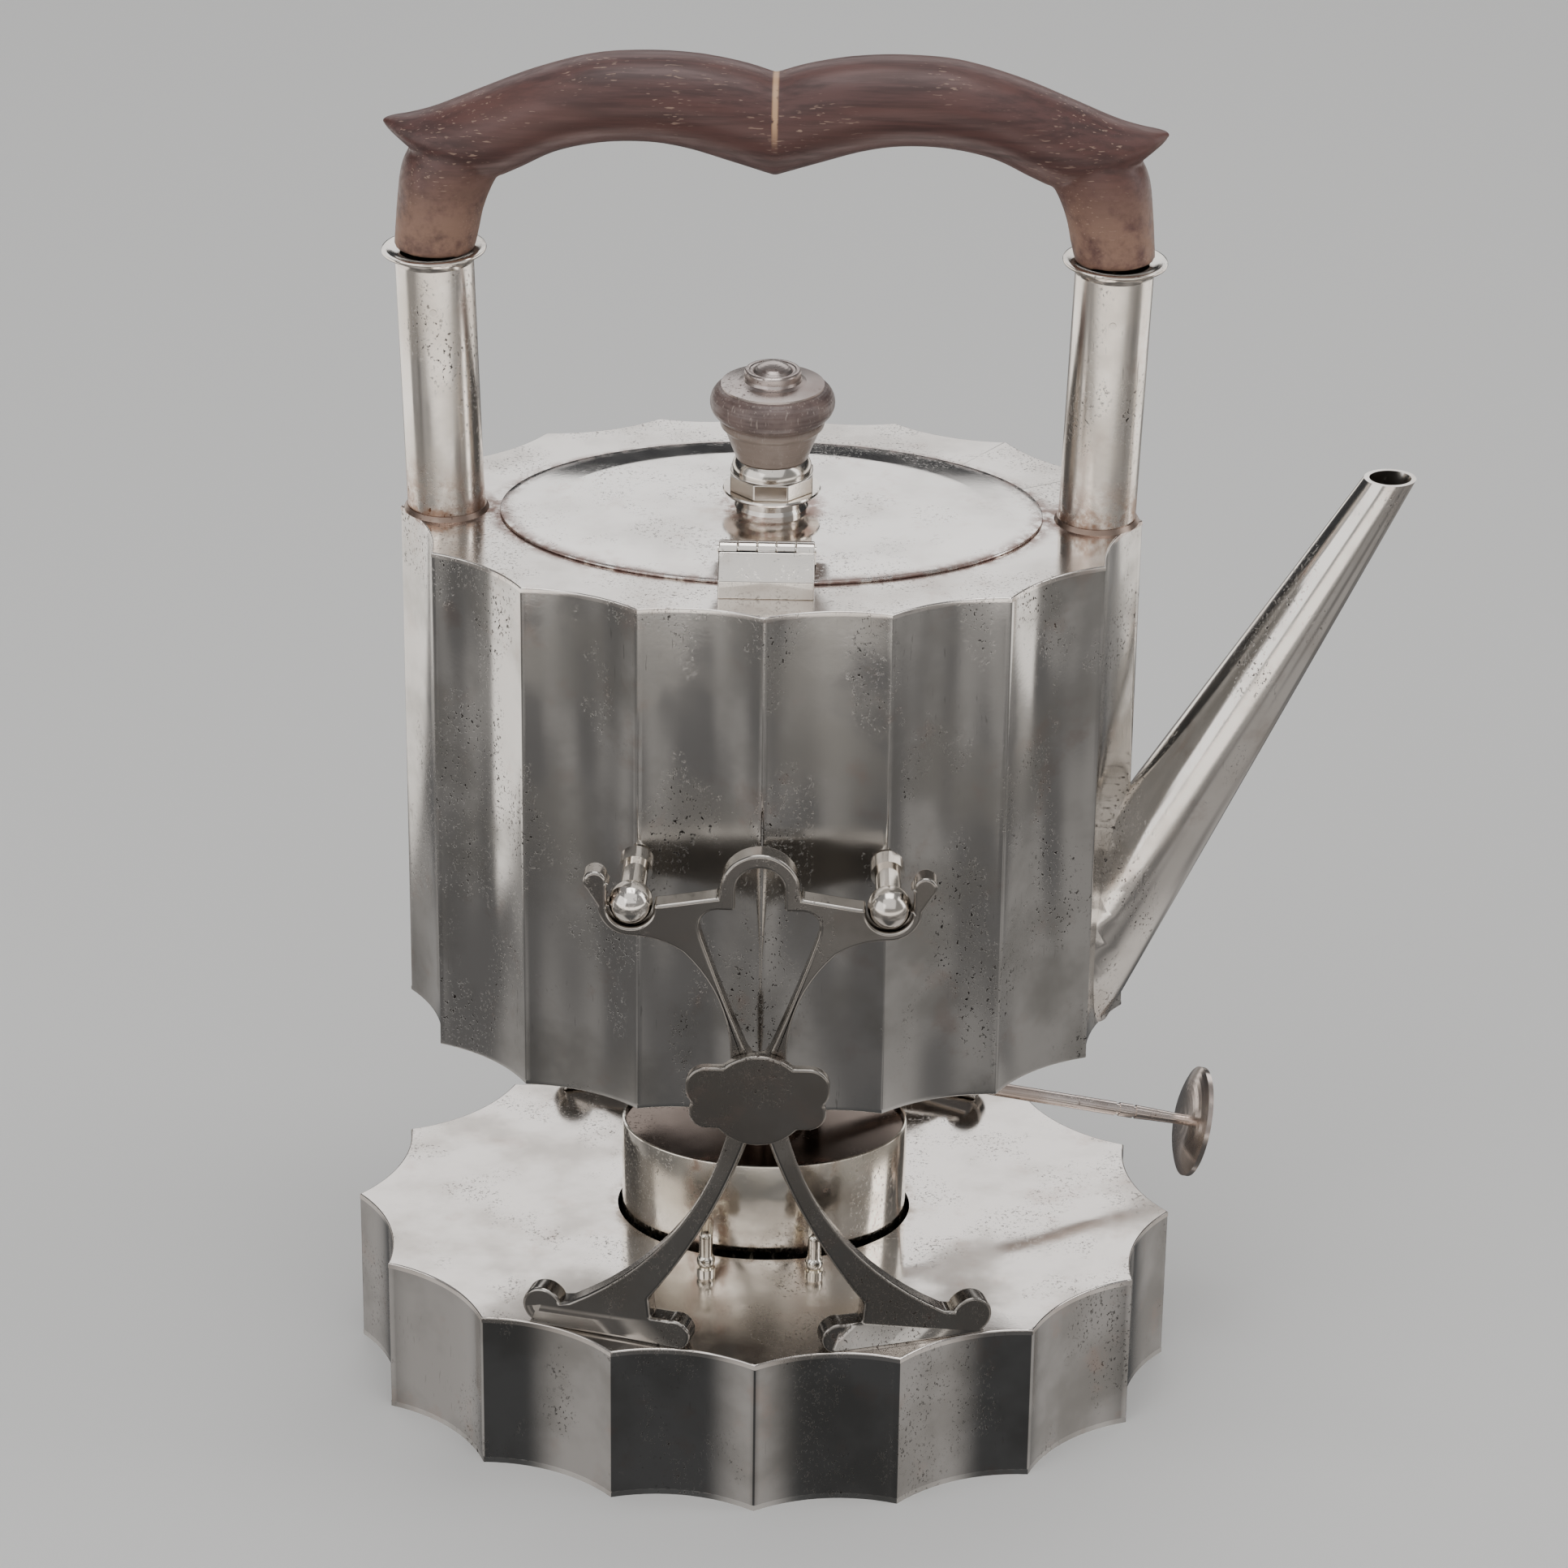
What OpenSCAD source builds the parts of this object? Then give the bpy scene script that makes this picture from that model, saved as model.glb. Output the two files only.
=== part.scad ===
// Spirit kettle on its stand, with a spirit burner.
// Frame: +Z up, +X towards the spout, -Y towards the lid hinge.
// The origin is the centre of the underside of the stand's base.

/* [Stand base] */
// Length of the base along X, cusp to cusp
base_length = 196; // [190:1:240]
// Depth of the base along Y, cusp to cusp
base_depth = 147; // [142:1:180]
// Height of the base
base_height = 40; // [32:1:60]
// Depth of each hollow flute in the base
base_flute_depth = 3.8; // [1:0.1:5]
// Thickness of the base's sheet silver
base_sheet = 1.4; // [1:0.1:2.5]
// Number of flutes round the base and round the kettle
flutes = 16; // [12:4:24]

/* [Burner] */
// Length of the burner's can along X
burner_length = 68.4; // [56:0.2:72]
// Depth of the burner's can along Y
burner_depth = 48; // [40:0.2:50]
// Height of the burner's rim above the base
burner_rise = 24; // [16:1:28]
// How far the burner's can hangs below the top of the base
burner_drop = 22; // [14:1:28]
// Gap between the burner and its opening at the two ends
burner_end_gap = 1.1; // [0.6:0.1:3]
// Gap between the burner and its opening along the two sides
burner_side_gap = 2.8; // [2.4:0.1:5]
// Diameter of the round wick
wick_dia = 10.4; // [8:0.1:12]
// Diameter of the winding disc
winder_disc_dia = 27; // [20:1:32]
// Diameter of the winder's shaft
winder_shaft_dia = 3.4; // [2.6:0.1:4.4]
// How far the winding disc stands out past the end of the base
winder_overhang = 3.5; // [3:0.1:14]

/* [Kettle body] */
// Length of the kettle's body along X, cusp to cusp
kettle_length = 168.8; // [160:0.2:200]
// Depth of the kettle's body along Y, cusp to cusp
kettle_depth = 116; // [110:0.2:118]
// Height of the kettle's body
kettle_height = 125.4; // [110:0.2:150]
// Height of the kettle's underside above the base
kettle_gap = 56.4; // [54:0.2:75]
// Depth of each hollow flute in the body
kettle_flute_depth = 2.6; // [1:0.1:3.4]
// Thickness of the kettle's sheet silver
kettle_sheet = 1.2; // [0.8:0.1:2]

/* [Lid] */
// Length of the lid along X
lid_length = 123.4; // [110:0.2:126]
// Depth of the lid along Y
lid_depth = 81; // [70:0.2:84]
// Thickness of the lid's plate
lid_sheet = 1.6; // [1.2:0.1:2.4]
// Depth of the flange below the lid
lid_flange_depth = 4.4; // [3:0.1:5]
// Clearance between the flange and the opening
lid_clearance = 1; // [0.8:0.1:2]
// Diameter of the hinge's knuckles
knuckle_dia = 4.2; // [3.6:0.1:5]
// Diameter of the hinge pin
hinge_pin_dia = 1.8; // [1.2:0.1:2.2]
// Diameter of the wooden part of the knob
knob_dia = 27.6; // [22:0.2:34]

/* [Handle] */
// Distance of each handle socket's foot from the middle
socket_offset = 73.9; // [66:0.1:80]
// Outer diameter of the handle sockets
socket_dia = 17.6; // [14:0.1:20]
// Height of the sockets above the kettle's top
socket_height = 63; // [50:1:80]
// Outward lean of the sockets
socket_lean = 1.7; // [0:0.1:4]
// Wall of the sockets
socket_wall = 1.1; // [0.8:0.1:2]
// Diameter of the flared rim on each socket
socket_rim_dia = 23.5; // [20:0.1:28]
// Depth of the wooden grip from front to back
grip_depth = 21; // [16:0.5:26]

/* [Spout] */
// Diameter of the spout where it meets the body
spout_base_dia = 26; // [20:0.5:30]
// Diameter of the spout at its mouth
spout_tip_dia = 10.4; // [8:0.1:14]
// Wall of the spout
spout_wall = 1; // [0.8:0.1:1.6]
// Distance of the mouth from the middle of the kettle
spout_reach = 140; // [130:1:160]

/* [Brackets] */
// Thickness of the bracket plates
bracket_plate = 5.2; // [3:0.1:6]
// Distance of the brackets' outer faces from the middle
bracket_front = 72.6; // [71.8:0.1:74]
// Diameter of the ball ends the kettle hangs on
ball_dia = 9.8; // [9:0.1:10.2]
// Running clearance round a ball in its cradle
ball_clearance = 0.3; // [0.2:0.05:0.5]

/* [Hidden] */
$fn = 64;

silver = [0.80, 0.78, 0.76];
silver_dark = [0.55, 0.54, 0.53];
silver_warm = [0.78, 0.72, 0.62];
dark_wood = [0.30, 0.17, 0.15];
knob_wood_colour = [0.46, 0.38, 0.36];
cotton = [0.88, 0.84, 0.74];

seam = 0.05;                              // running clearance of pins in their holes
base_a = base_length / 2;
base_b = base_depth / 2;
kettle_a = kettle_length / 2;
kettle_b = kettle_depth / 2;
kettle_z = base_height + kettle_gap;
kettle_top_z = kettle_z + kettle_height;

// ---- fluted ovals -------------------------------------------------------

arc_steps = 180;

function oval_point(a, b, t) = [a * sin(t), -b * cos(t)];

// Running length along the oval, one entry per step of the angle.
function oval_lengths(a, b) = [
  for (i = 0, s = 0; i <= arc_steps;
       s = s + norm(oval_point(a, b, (i + 1) * 360 / arc_steps)
                    - oval_point(a, b, i * 360 / arc_steps)), i = i + 1)
    [s, i * 360 / arc_steps]];

// Cusps at equal steps along the oval, the first one at the front.
function cusps(a, b) =
  let (table = oval_lengths(a, b), whole = table[arc_steps][0])
    [for (k = [0 : flutes - 1]) oval_point(a, b, lookup(k * whole / flutes, table))];

// Outline of an oval with a hollow flute between each pair of cusps,
// moved inwards by "inset".
module fluted_oval(a, b, depth, inset = 0) {
  points = cusps(a, b);
  difference() {
    polygon(points);
    for (k = [0 : flutes - 1])
      flute_cut(points[k], points[(k + 1) % flutes], depth, inset);
  }
}

module flute_cut(p, q, depth, inset) {
  chord = norm(q - p);
  radius = (chord * chord / 4 + depth * depth) / (2 * depth);
  along = (q - p) / chord;
  outward = [along[1], -along[0]];
  centre = (p + q) / 2 + outward * (radius - depth);
  translate(centre)
    circle(r = radius + inset, $fn = 180);
}

// Plain oval, as a many-sided outline.
module oval(a, b, sides = 96)
  polygon([for (i = [0 : sides - 1]) oval_point(a, b, i * 360 / sides)]);

// ---- outline helpers ----------------------------------------------------

// Points on the round stretch from p through q to r.
function arc_points(p, q, r, n = 10) =
  let (
    d = 2 * (p[0] * (q[1] - r[1]) + q[0] * (r[1] - p[1]) + r[0] * (p[1] - q[1])),
    cx = (p * p * (q[1] - r[1]) + q * q * (r[1] - p[1]) + r * r * (p[1] - q[1])) / d,
    cy = (p * p * (r[0] - q[0]) + q * q * (p[0] - r[0]) + r * r * (q[0] - p[0])) / d,
    c = [cx, cy], radius = norm(p - c),
    a0 = atan2(p[1] - cy, p[0] - cx),
    am = turn(atan2(q[1] - cy, q[0] - cx) - a0),
    a1 = turn(atan2(r[1] - cy, r[0] - cx) - a0),
    sweep = am < a1 ? a1 : a1 - 360)
    [for (i = [0 : n]) c + radius * [cos(a0 + sweep * i / n), sin(a0 + sweep * i / n)]];

function turn(a) = a < 0 ? a + 360 : a;

// Both halves of a shape drawn to the right of the Y axis.
module both_sides() {
  children();
  mirror([1, 0, 0])
    children();
}

// A flat outline drawn in X and Z, standing up, its front at y = -front.
module standing(front, thick)
  translate([0, -front + thick, 0])
    rotate([90, 0, 0])
      linear_extrude(thick)
        children();

// ---- stand base ---------------------------------------------------------

hole_a = burner_length / 2 + burner_end_gap;
hole_b = burner_depth / 2 + burner_side_gap;
pin_x = 12.8;                             // burner pins from the middle, along X
pin_dia = 3.2;
pin_y = hole_b + 2.4 + pin_dia;           // burner pins stand outside the opening
pin_hole_dia = pin_dia + 0.6;
pin_arm = 9.5;                            // height of a pin's arm above the base

module base_wall() {
  color(silver)
    translate([0, 0, base_sheet])
      linear_extrude(base_height - 2 * base_sheet)
        difference() {
          fluted_oval(base_a, base_b, base_flute_depth);
          fluted_oval(base_a, base_b, base_flute_depth, base_sheet);
        }
}

module base_top() {
  color(silver)
    translate([0, 0, base_height - base_sheet])
      difference() {
        linear_extrude(base_sheet)
          difference() {
            fluted_oval(base_a, base_b, base_flute_depth);
            oval(hole_a, hole_b);
          }
        for (x = [-pin_x, pin_x], y = [-pin_y, pin_y])
          translate([x, y, -1])
            cylinder(d = pin_hole_dia, h = base_sheet + 2);
      }
}

module base_floor() {
  color(silver_dark)
    linear_extrude(base_sheet)
      fluted_oval(base_a, base_b, base_flute_depth);
}

// ---- brackets -----------------------------------------------------------

ball_x = 28.6;                            // ball ends from the middle, along X
ball_z = kettle_z + 61.4;
ball_y = bracket_front - bracket_plate / 2;
cradle_r = ball_dia / 2 + ball_clearance;
neck_z = kettle_z + 11.6;                 // foot of the upper plate
arm_z = ball_z - 157.8;                   // moves the drawn outline with the balls
lobe_z = neck_z + 2.6;                    // middle of the lobed plate
lobe_thick = 2.5;
leg_turn = 16.2;

// Right half of the upper plate, without its openings.
module bracket_half() {
  translate([0, arm_z]) {
    polygon(concat(
      [[-0.1, neck_z - arm_z], [6, neck_z - arm_z]],
      arc_points([6.3, 121], [9.7, 136], [17, 146.6]),
      arc_points([17.4, 146.9], [22.4, 149.4], [28.6, 150.5], 6),
      [[28.6, 157.8], [21.6, 158.4], [9.4, 160.4], [8.9, 162.3], [-0.1, 162.3]]));
    translate([0, 162.3])
      circle(r = 8.9);
    // hook under the ball, with its upturned end
    translate([ball_x, 157.8])
      difference() {
        circle(r = cradle_r + 2.1);
        translate([-20, 0])
          square([40, 20]);
      }
    polygon([[ball_x + cradle_r + 0.1, 156], [ball_x + cradle_r + 2.1, 157.8],
             [39, 163], [36.6, 165], [ball_x + cradle_r + 0.1, 163.4]]);
    translate([ball_x + cradle_r + 2.7, 163.7])
      circle(r = 2.6);
  }
}

// Right half of the opening between the two arms, with the arch above it.
module bracket_window_half() {
  translate([0, arm_z]) {
    translate([0, 162.3])
      circle(r = 5.5);
    translate([-0.1, 155])
      square([5.6, 7.3]);
    polygon(concat(
      [[-0.1, 119.6], [1.2, 119.6]],
      arc_points([2.6, 121.7], [8.4, 137], [13, 150.6]),
      arc_points([13.3, 152.4], [12.4, 156], [9.6, 157.3], 6),
      [[-0.1, 157.3]]));
  }
}

module upper_bracket() {
  color(silver_warm)
    standing(bracket_front, bracket_plate)
      difference() {
        both_sides()
          bracket_half();
        both_sides()
          bracket_window_half();
        both_sides()
          translate([ball_x, ball_z])
            circle(r = cradle_r);
      }
}

// A leg drawn along its own plane: x is the distance from the middle.
module leg_outline() {
  foot = base_height;
  difference() {
    union() {
      polygon(concat(
        arc_points([5.7, neck_z], [18.8, foot + 33], [45.5, foot + 7.3], 14),
        [[52, foot + 6], [55.5, foot], [19, foot], [25.6, foot + 7.4]],
        arc_points([26.1, foot + 12], [13.5, foot + 32.7], [0.1, neck_z], 14)));
      translate([52.1, foot + 5])
        circle(r = 4.8);
      translate([19.9, foot + 3.5])
        circle(r = 3.9);
      translate([19.9, foot])
        square([8, 7.2]);
    }
    translate([-5, foot - 20])
      square([80, 20]);
    translate([-10, foot])
      square([10, 90]);
  }
}

// The leg's plate turned to follow the rim of the base, cut at the middle.
module leg() {
  color(silver_warm)
    difference() {
      translate([0, -bracket_front, 0])
        rotate([0, 0, leg_turn])
          translate([0, bracket_plate, 0])
            rotate([90, 0, 0])
              linear_extrude(bracket_plate)
                leg_outline();
      translate([-20, -bracket_front - 20, 0])
        cube([20.05, 60, 200]);
    }
}

// Lobed plate over the joint of the legs and the upper plate: a wide pair of
// upper lobes, a narrower pair below them, and a round one through the middle.
module lobed_plate() {
  color(silver)
    standing(bracket_front + lobe_thick, lobe_thick)
      translate([0, lobe_z]) {
        circle(r = 11.5);
        lobe_pair(16.2, 3.2, 5.2, 4.6);
        lobe_pair(15.4, -3, 4.3, 4);
      }
}

// Rounded bar from side to side: half its length, middle, half its height, corner.
module lobe_pair(half, z, tall, corner)
  translate([0, z]) {
    square([2 * half, 2 * (tall - corner) + 0.02], center = true);
    square([2 * (half - corner), 2 * tall], center = true);
    for (x = [-1, 1], y = [-1, 1])
      translate([x * (half - corner), y * (tall - corner)])
        circle(r = corner);
  }

module front_bracket() upper_bracket();
module back_bracket() mirror([0, 1, 0]) upper_bracket();
module front_right_leg() leg();
module front_left_leg() mirror([1, 0, 0]) leg();
module back_right_leg() mirror([0, 1, 0]) leg();
module back_left_leg() mirror([0, 1, 0]) mirror([1, 0, 0]) leg();
module front_lobed_plate() lobed_plate();
module back_lobed_plate() mirror([0, 1, 0]) lobed_plate();

// ---- burner -------------------------------------------------------------

can_a = burner_length / 2;
can_b = burner_depth / 2;
can_wall = 0.9;
can_floor_z = base_height - burner_drop;
can_rim_z = base_height + burner_rise;
burner_top_z = can_rim_z - 1.2;           // upper face of the sunk top
tube_wall = 1;
wick_gap = 0.3;
tube_r = wick_dia / 2 + wick_gap + tube_wall;
tube_top_z = can_rim_z + 18.5;
wheel_r = 4;
wheel_thick = 2.2;
shaft_r = winder_shaft_dia / 2;
winder_y = wick_dia / 2 + wick_gap + wheel_r;  // winder's axis clears the wick
winder_z = can_rim_z + 12.5;
winder_yaw = 8;
winder_fall = 13.4;
winder_reach = (base_a + winder_overhang) / cos(winder_fall) / cos(winder_yaw);

// Places a shape drawn along +X on the winder's axis.
module on_winder_axis()
  translate([0, winder_y, winder_z])
    rotate([0, winder_fall, winder_yaw])
      children();

module burner_can() {
  color(silver)
    difference() {
      translate([0, 0, can_floor_z])
        linear_extrude(can_rim_z - can_floor_z)
          oval(can_a, can_b);
      translate([0, 0, can_floor_z + can_wall])
        linear_extrude(can_rim_z - can_floor_z)
          oval(can_a - can_wall, can_b - can_wall);
    }
}

module burner_top() {
  color(silver_dark)
    difference() {
      translate([0, 0, burner_top_z - can_wall])
        linear_extrude(can_wall)
          oval(can_a - can_wall, can_b - can_wall);
      translate([0, 0, burner_top_z - 5])
        cylinder(r = tube_r, h = 10);
    }
}

// Four bent pins soldered to the can: each stands in a hole in the base.
module burner_pins() {
  side_y = can_b * sqrt(1 - pow(pin_x / can_a, 2));
  color(silver_warm)
    for (m = [0, 1], n = [0, 1])
      mirror([m, 0, 0])
        mirror([0, n, 0])
          difference() {
            union() {
              translate([pin_x, -pin_y, base_height - base_sheet - 2])
                cylinder(d = pin_dia, h = base_sheet + 2 + pin_arm);
              translate([pin_x, -pin_y, base_height])
                cylinder(d = pin_dia + 1.2, h = 1.2);
              translate([pin_x, -pin_y, base_height + 3])
                sphere(d = pin_dia + 1.2);
              translate([pin_x, -pin_y, base_height + pin_arm])
                sphere(d = pin_dia);
              translate([pin_x, -pin_y, base_height + pin_arm])
                rotate([-90, 0, 0])
                  cylinder(d = pin_dia, h = pin_y - side_y + 3);
            }
            translate([0, 0, can_floor_z])
              linear_extrude(can_rim_z)
                oval(can_a, can_b);
          }
}

module wick_tube() {
  color(silver_warm)
    difference() {
      union() {
        translate([0, 0, can_floor_z + 6])
          cylinder(r = tube_r, h = tube_top_z - can_floor_z - 6);
        translate([0, 0, burner_top_z])
          cylinder(r = tube_r + 3, h = 1.4);
      }
      cylinder(r = tube_r - tube_wall, h = 200);
      on_winder_axis()
        cube([wheel_thick + 1.6, 2 * wheel_r + 1.2, 2 * wheel_r + 1.2], center = true);
    }
}

// Small bearing block on the burner's top that carries the winder's shaft.
module winder_bearing() {
  place = tube_r + 5;
  shaft_z = winder_z - place * tan(winder_fall);
  color(silver_warm)
    difference() {
      translate([place - 2, winder_y + place * tan(winder_yaw) - 3.4, burner_top_z])
        cube([4, 6.8, shaft_z - burner_top_z + 3.6]);
      on_winder_axis()
        rotate([0, 90, 0])
          cylinder(r = shaft_r + seam, h = 60);
    }
}

module wick() {
  color(cotton)
    translate([0, 0, can_floor_z + 11])
      cylinder(d = wick_dia, h = tube_top_z + 2 - can_floor_z - 11);
}

module winder_wheel() {
  teeth = 12;
  color(silver_warm)
    on_winder_axis()
      rotate([0, 90, 0])
        difference() {
          translate([0, 0, -wheel_thick / 2])
            linear_extrude(wheel_thick)
              polygon([for (i = [0 : 2 * teeth - 1])
                (i % 2 == 0 ? wheel_r : wheel_r - 0.9)
                * [cos(i * 180 / teeth), sin(i * 180 / teeth)]]);
          cylinder(r = shaft_r + seam / 2, h = 10, center = true);
        }
}

module winder_shaft() {
  bead = winder_reach - 17;
  color(silver_warm)
    on_winder_axis()
      rotate([0, 90, 0]) {
        translate([0, 0, -2.2])
          cylinder(r = shaft_r, h = bead + 2.2);
        translate([0, 0, bead])
          cylinder(r = shaft_r - 0.35, h = 1);
        translate([0, 0, bead + 1])
          cylinder(r = shaft_r, h = 3.4);
        translate([0, 0, bead + 4.4])
          cylinder(r = shaft_r - 0.35, h = 0.8);
        translate([0, 0, bead + 5.2])
          cylinder(r1 = shaft_r, r2 = shaft_r - 0.4, h = winder_reach - bead - 5.2);
      }
}

module winder_disc() {
  rim = winder_disc_dia / 2;
  color(silver_warm)
    on_winder_axis()
      translate([winder_reach, 0, 0])
        rotate([0, 90, 0])
          rotate_extrude()
            polygon(concat(
              [[0, 0], [3, 0]],
              arc_points([4, 0.1], [0.7 * rim, 0.9], [rim, 2.6], 8),
              arc_points([rim, 3.8], [0.7 * rim, 2.1], [4, 1.2], 8),
              [[0, 1.2]]));
}

// ---- pegs and balls -----------------------------------------------------

peg_dia = 5.8;
collar_dia = 7.6;
peg_root_z = ball_z + 2.5;
// the first cusp beside the front one carries the pegs
peg_root = cusps(kettle_a, kettle_b)[1];

// One peg from the body's cusp to its ball, on the spout side at the front.
module peg() {
  run = [ball_x - peg_root[0], -ball_y - peg_root[1], ball_z - peg_root_z];
  length = norm(run);
  color(silver)
    difference() {
      translate([peg_root[0], peg_root[1], peg_root_z])
        rotate([0, acos(run[2] / length), atan2(run[1], run[0])])
          translate([0, 0, -3]) {
            cylinder(d = peg_dia, h = length + 3);
            translate([0, 0, 2.6])
              cylinder(d = collar_dia, h = 4);
          }
      translate([0, 0, kettle_z])
        linear_extrude(kettle_height)
          fluted_oval(kettle_a, kettle_b, kettle_flute_depth);
      translate([ball_x, -ball_y, ball_z])
        sphere(d = ball_dia + 0.12);
      translate([ball_x - 20, -ball_y - 20, ball_z - 20])
        cube([40, 20, 40]);
    }
}

module ball_pair() {
  color(silver)
    for (y = [-ball_y, ball_y])
      translate([ball_x, y, ball_z])
        sphere(d = ball_dia);
}

module peg_pair() {
  peg();
  mirror([0, 1, 0])
    peg();
}

module pivot_balls() ball_pair();
module rest_balls() mirror([1, 0, 0]) ball_pair();
module right_pegs() peg_pair();
module left_pegs() mirror([1, 0, 0]) peg_pair();

// ---- kettle body --------------------------------------------------------

lid_a = lid_length / 2;
lid_b = lid_depth / 2;
lip = 4.6;                                // how far the lid overlaps its opening
opening_a = lid_a - lip;
opening_b = lid_b - lip;

module kettle_outline(inset = 0)
  fluted_oval(kettle_a, kettle_b, kettle_flute_depth, inset);

module kettle_wall() {
  color(silver)
    difference() {
      translate([0, 0, kettle_z + kettle_sheet])
        linear_extrude(kettle_height - 2 * kettle_sheet)
          difference() {
            kettle_outline();
            kettle_outline(kettle_sheet);
          }
      // strainer holes behind the spout
      for (row = [-1 : 1], col = [-1 : 1])
        translate([kettle_a - 20, col * 5, spout_base_z + row * 6.5])
          rotate([0, 90, 0])
            cylinder(d = 3.6, h = 40, $fn = 24);
    }
}

module kettle_bottom() {
  color(silver_dark)
    translate([0, 0, kettle_z])
      linear_extrude(kettle_sheet)
        kettle_outline();
}

module kettle_top() {
  color(silver)
    translate([0, 0, kettle_top_z - kettle_sheet])
      linear_extrude(kettle_sheet)
        difference() {
          kettle_outline();
          oval(opening_a, opening_b);
        }
}

// ---- spout --------------------------------------------------------------

spout_base_z = kettle_z + 28.6;
spout_base_x = kettle_a - 3.4;
spout_tip_z = kettle_top_z + 11.6;
spout_run = [spout_reach - spout_base_x, 0, spout_tip_z - spout_base_z];
spout_length = norm(spout_run);
spout_lean = atan2(spout_run[0], spout_run[2]);
spout_back = 26;                          // the cone is drawn this far back

// Cone along the spout's axis, "grow" wider than the spout.
module spout_cone(grow) {
  slope = (spout_base_dia - spout_tip_dia) / 2 / spout_length;
  ahead = 12;
  translate([spout_base_x, 0, spout_base_z])
    rotate([0, spout_lean, 0])
      translate([0, 0, -spout_back])
        cylinder(r1 = spout_base_dia / 2 + slope * spout_back + grow,
                 r2 = spout_tip_dia / 2 - slope * ahead + grow,
                 h = spout_length + spout_back + ahead);
}

// The corner of the body behind the spout: a block hollowed by the two
// flutes that meet at the end cusp.
module body_corner() {
  points = cusps(kettle_a, kettle_b);
  last = flutes / 4;
  difference() {
    translate([0, -40, kettle_z - 40])
      cube([kettle_a, 80, kettle_height + 60]);
    translate([0, 0, kettle_z - 50])
      linear_extrude(kettle_height + 80) {
        flute_cut(points[last - 1], points[last], kettle_flute_depth, 0);
        flute_cut(points[last], points[last + 1], kettle_flute_depth, 0);
      }
  }
}

module spout() {
  color(silver)
    difference() {
      spout_cone(0);
      spout_cone(-spout_wall);
      body_corner();
      translate([0, -50, spout_tip_z])
        cube([300, 100, 100]);
    }
}

// ---- handle -------------------------------------------------------------

rim_thick = 1.6;
rim_z = socket_height - rim_thick;
grip_leg_r = 9.1;
tenon_gap = 0.1;
tenon_r = socket_dia / 2 - socket_wall - tenon_gap;
tenon_length = 22;
grip_pin_dia = 1.6;
grip_pin_drop = 11;                       // pin below the top of the socket
// how far the socket's top stands out from its foot
rim_out = socket_height * tan(socket_lean);

// Places a shape drawn up +Z from a socket's foot.
module on_socket()
  translate([socket_offset, 0, kettle_top_z])
    rotate([0, socket_lean, 0])
      children();

module socket_tube() {
  color(silver)
    difference() {
      on_socket()
        difference() {
          translate([0, 0, -1])
            cylinder(d = socket_dia, h = rim_z + 1);
          translate([0, 0, 1.5])
            cylinder(d = socket_dia - 2 * socket_wall, h = socket_height);
          translate([0, 0, rim_z - grip_pin_drop])
            rotate([90, 0, 0])
              cylinder(d = grip_pin_dia, h = 40, center = true);
        }
      translate([-200, -50, kettle_top_z - 20])
        cube([400, 100, 20]);
    }
}

module socket_rim() {
  inner = socket_dia / 2 - socket_wall;
  color(silver)
    on_socket()
      translate([0, 0, rim_z])
        rotate_extrude()
          polygon([[inner, 0], [socket_dia / 2 + 0.8, 0], [socket_rim_dia / 2, rim_thick * 0.6],
                   [socket_rim_dia / 2, rim_thick], [inner, rim_thick]]);
}

// Ring of solder round the socket's foot.
module socket_seam() {
  color(silver)
    difference() {
      translate([socket_offset, 0, kettle_top_z])
        rotate_extrude()
          polygon([[socket_dia / 2 - 2, 0], [socket_dia / 2 + 0.9, 0],
                   [socket_dia / 2 + 0.3, 1.1], [socket_dia / 2 - 2, 1.1]]);
      on_socket()
        translate([0, 0, -5])
          cylinder(d = socket_dia, h = 20);
    }
}

module left_socket() mirror([1, 0, 0]) socket_tube();
module right_socket() socket_tube();
module left_socket_rim() mirror([1, 0, 0]) socket_rim();
module right_socket_rim() socket_rim();
module left_socket_seam() mirror([1, 0, 0]) socket_seam();
module right_socket_seam() socket_seam();

// The grip's sections, from the middle notch to the leg: each is the
// lower point and the upper point of its outline, and its depth as a share.
grip_x = socket_offset + rim_out;         // middle of the leg at the rim
grip_z = kettle_top_z + socket_height * cos(socket_lean);
grip_sections = [
  [[0, 18.6], [0, 41.4], 1],
  [[0.1, 19.5], [0.1, 43.2], 1],
  [[0.17, 22.3], [0.17, 44.9], 1],
  [[0.29, 25], [0.29, 45.9], 1],
  [[0.42, 26], [0.42, 45.7], 1],
  [[0.55, 25.3], [0.56, 44.3], 1],
  [[0.66, 22.9], [0.69, 41.8], 1],
  [[0.75, 19.4], [0.82, 37.5], 0.98],
  [[0.815, 15], [0.94, 31.5], 0.95],
  [[0.85, 10], [1.06, 25.4], 0.92],
  [[0.868, 4], [1.108, 14], 0.88]
];

module grip_section(s) {
  low = [s[0][0] * grip_x, s[0][1]];
  high = [s[1][0] * grip_x, s[1][1]];
  across = high - low;
  translate([(low[0] + high[0]) / 2, 0, grip_z + (low[1] + high[1]) / 2])
    rotate([0, -atan2(across[1], across[0]), 0])
      scale([norm(across) / 2, grip_depth / 2 * s[2], 1])
        cylinder(r = 1, h = 0.2, center = true, $fn = 32);
}

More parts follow.
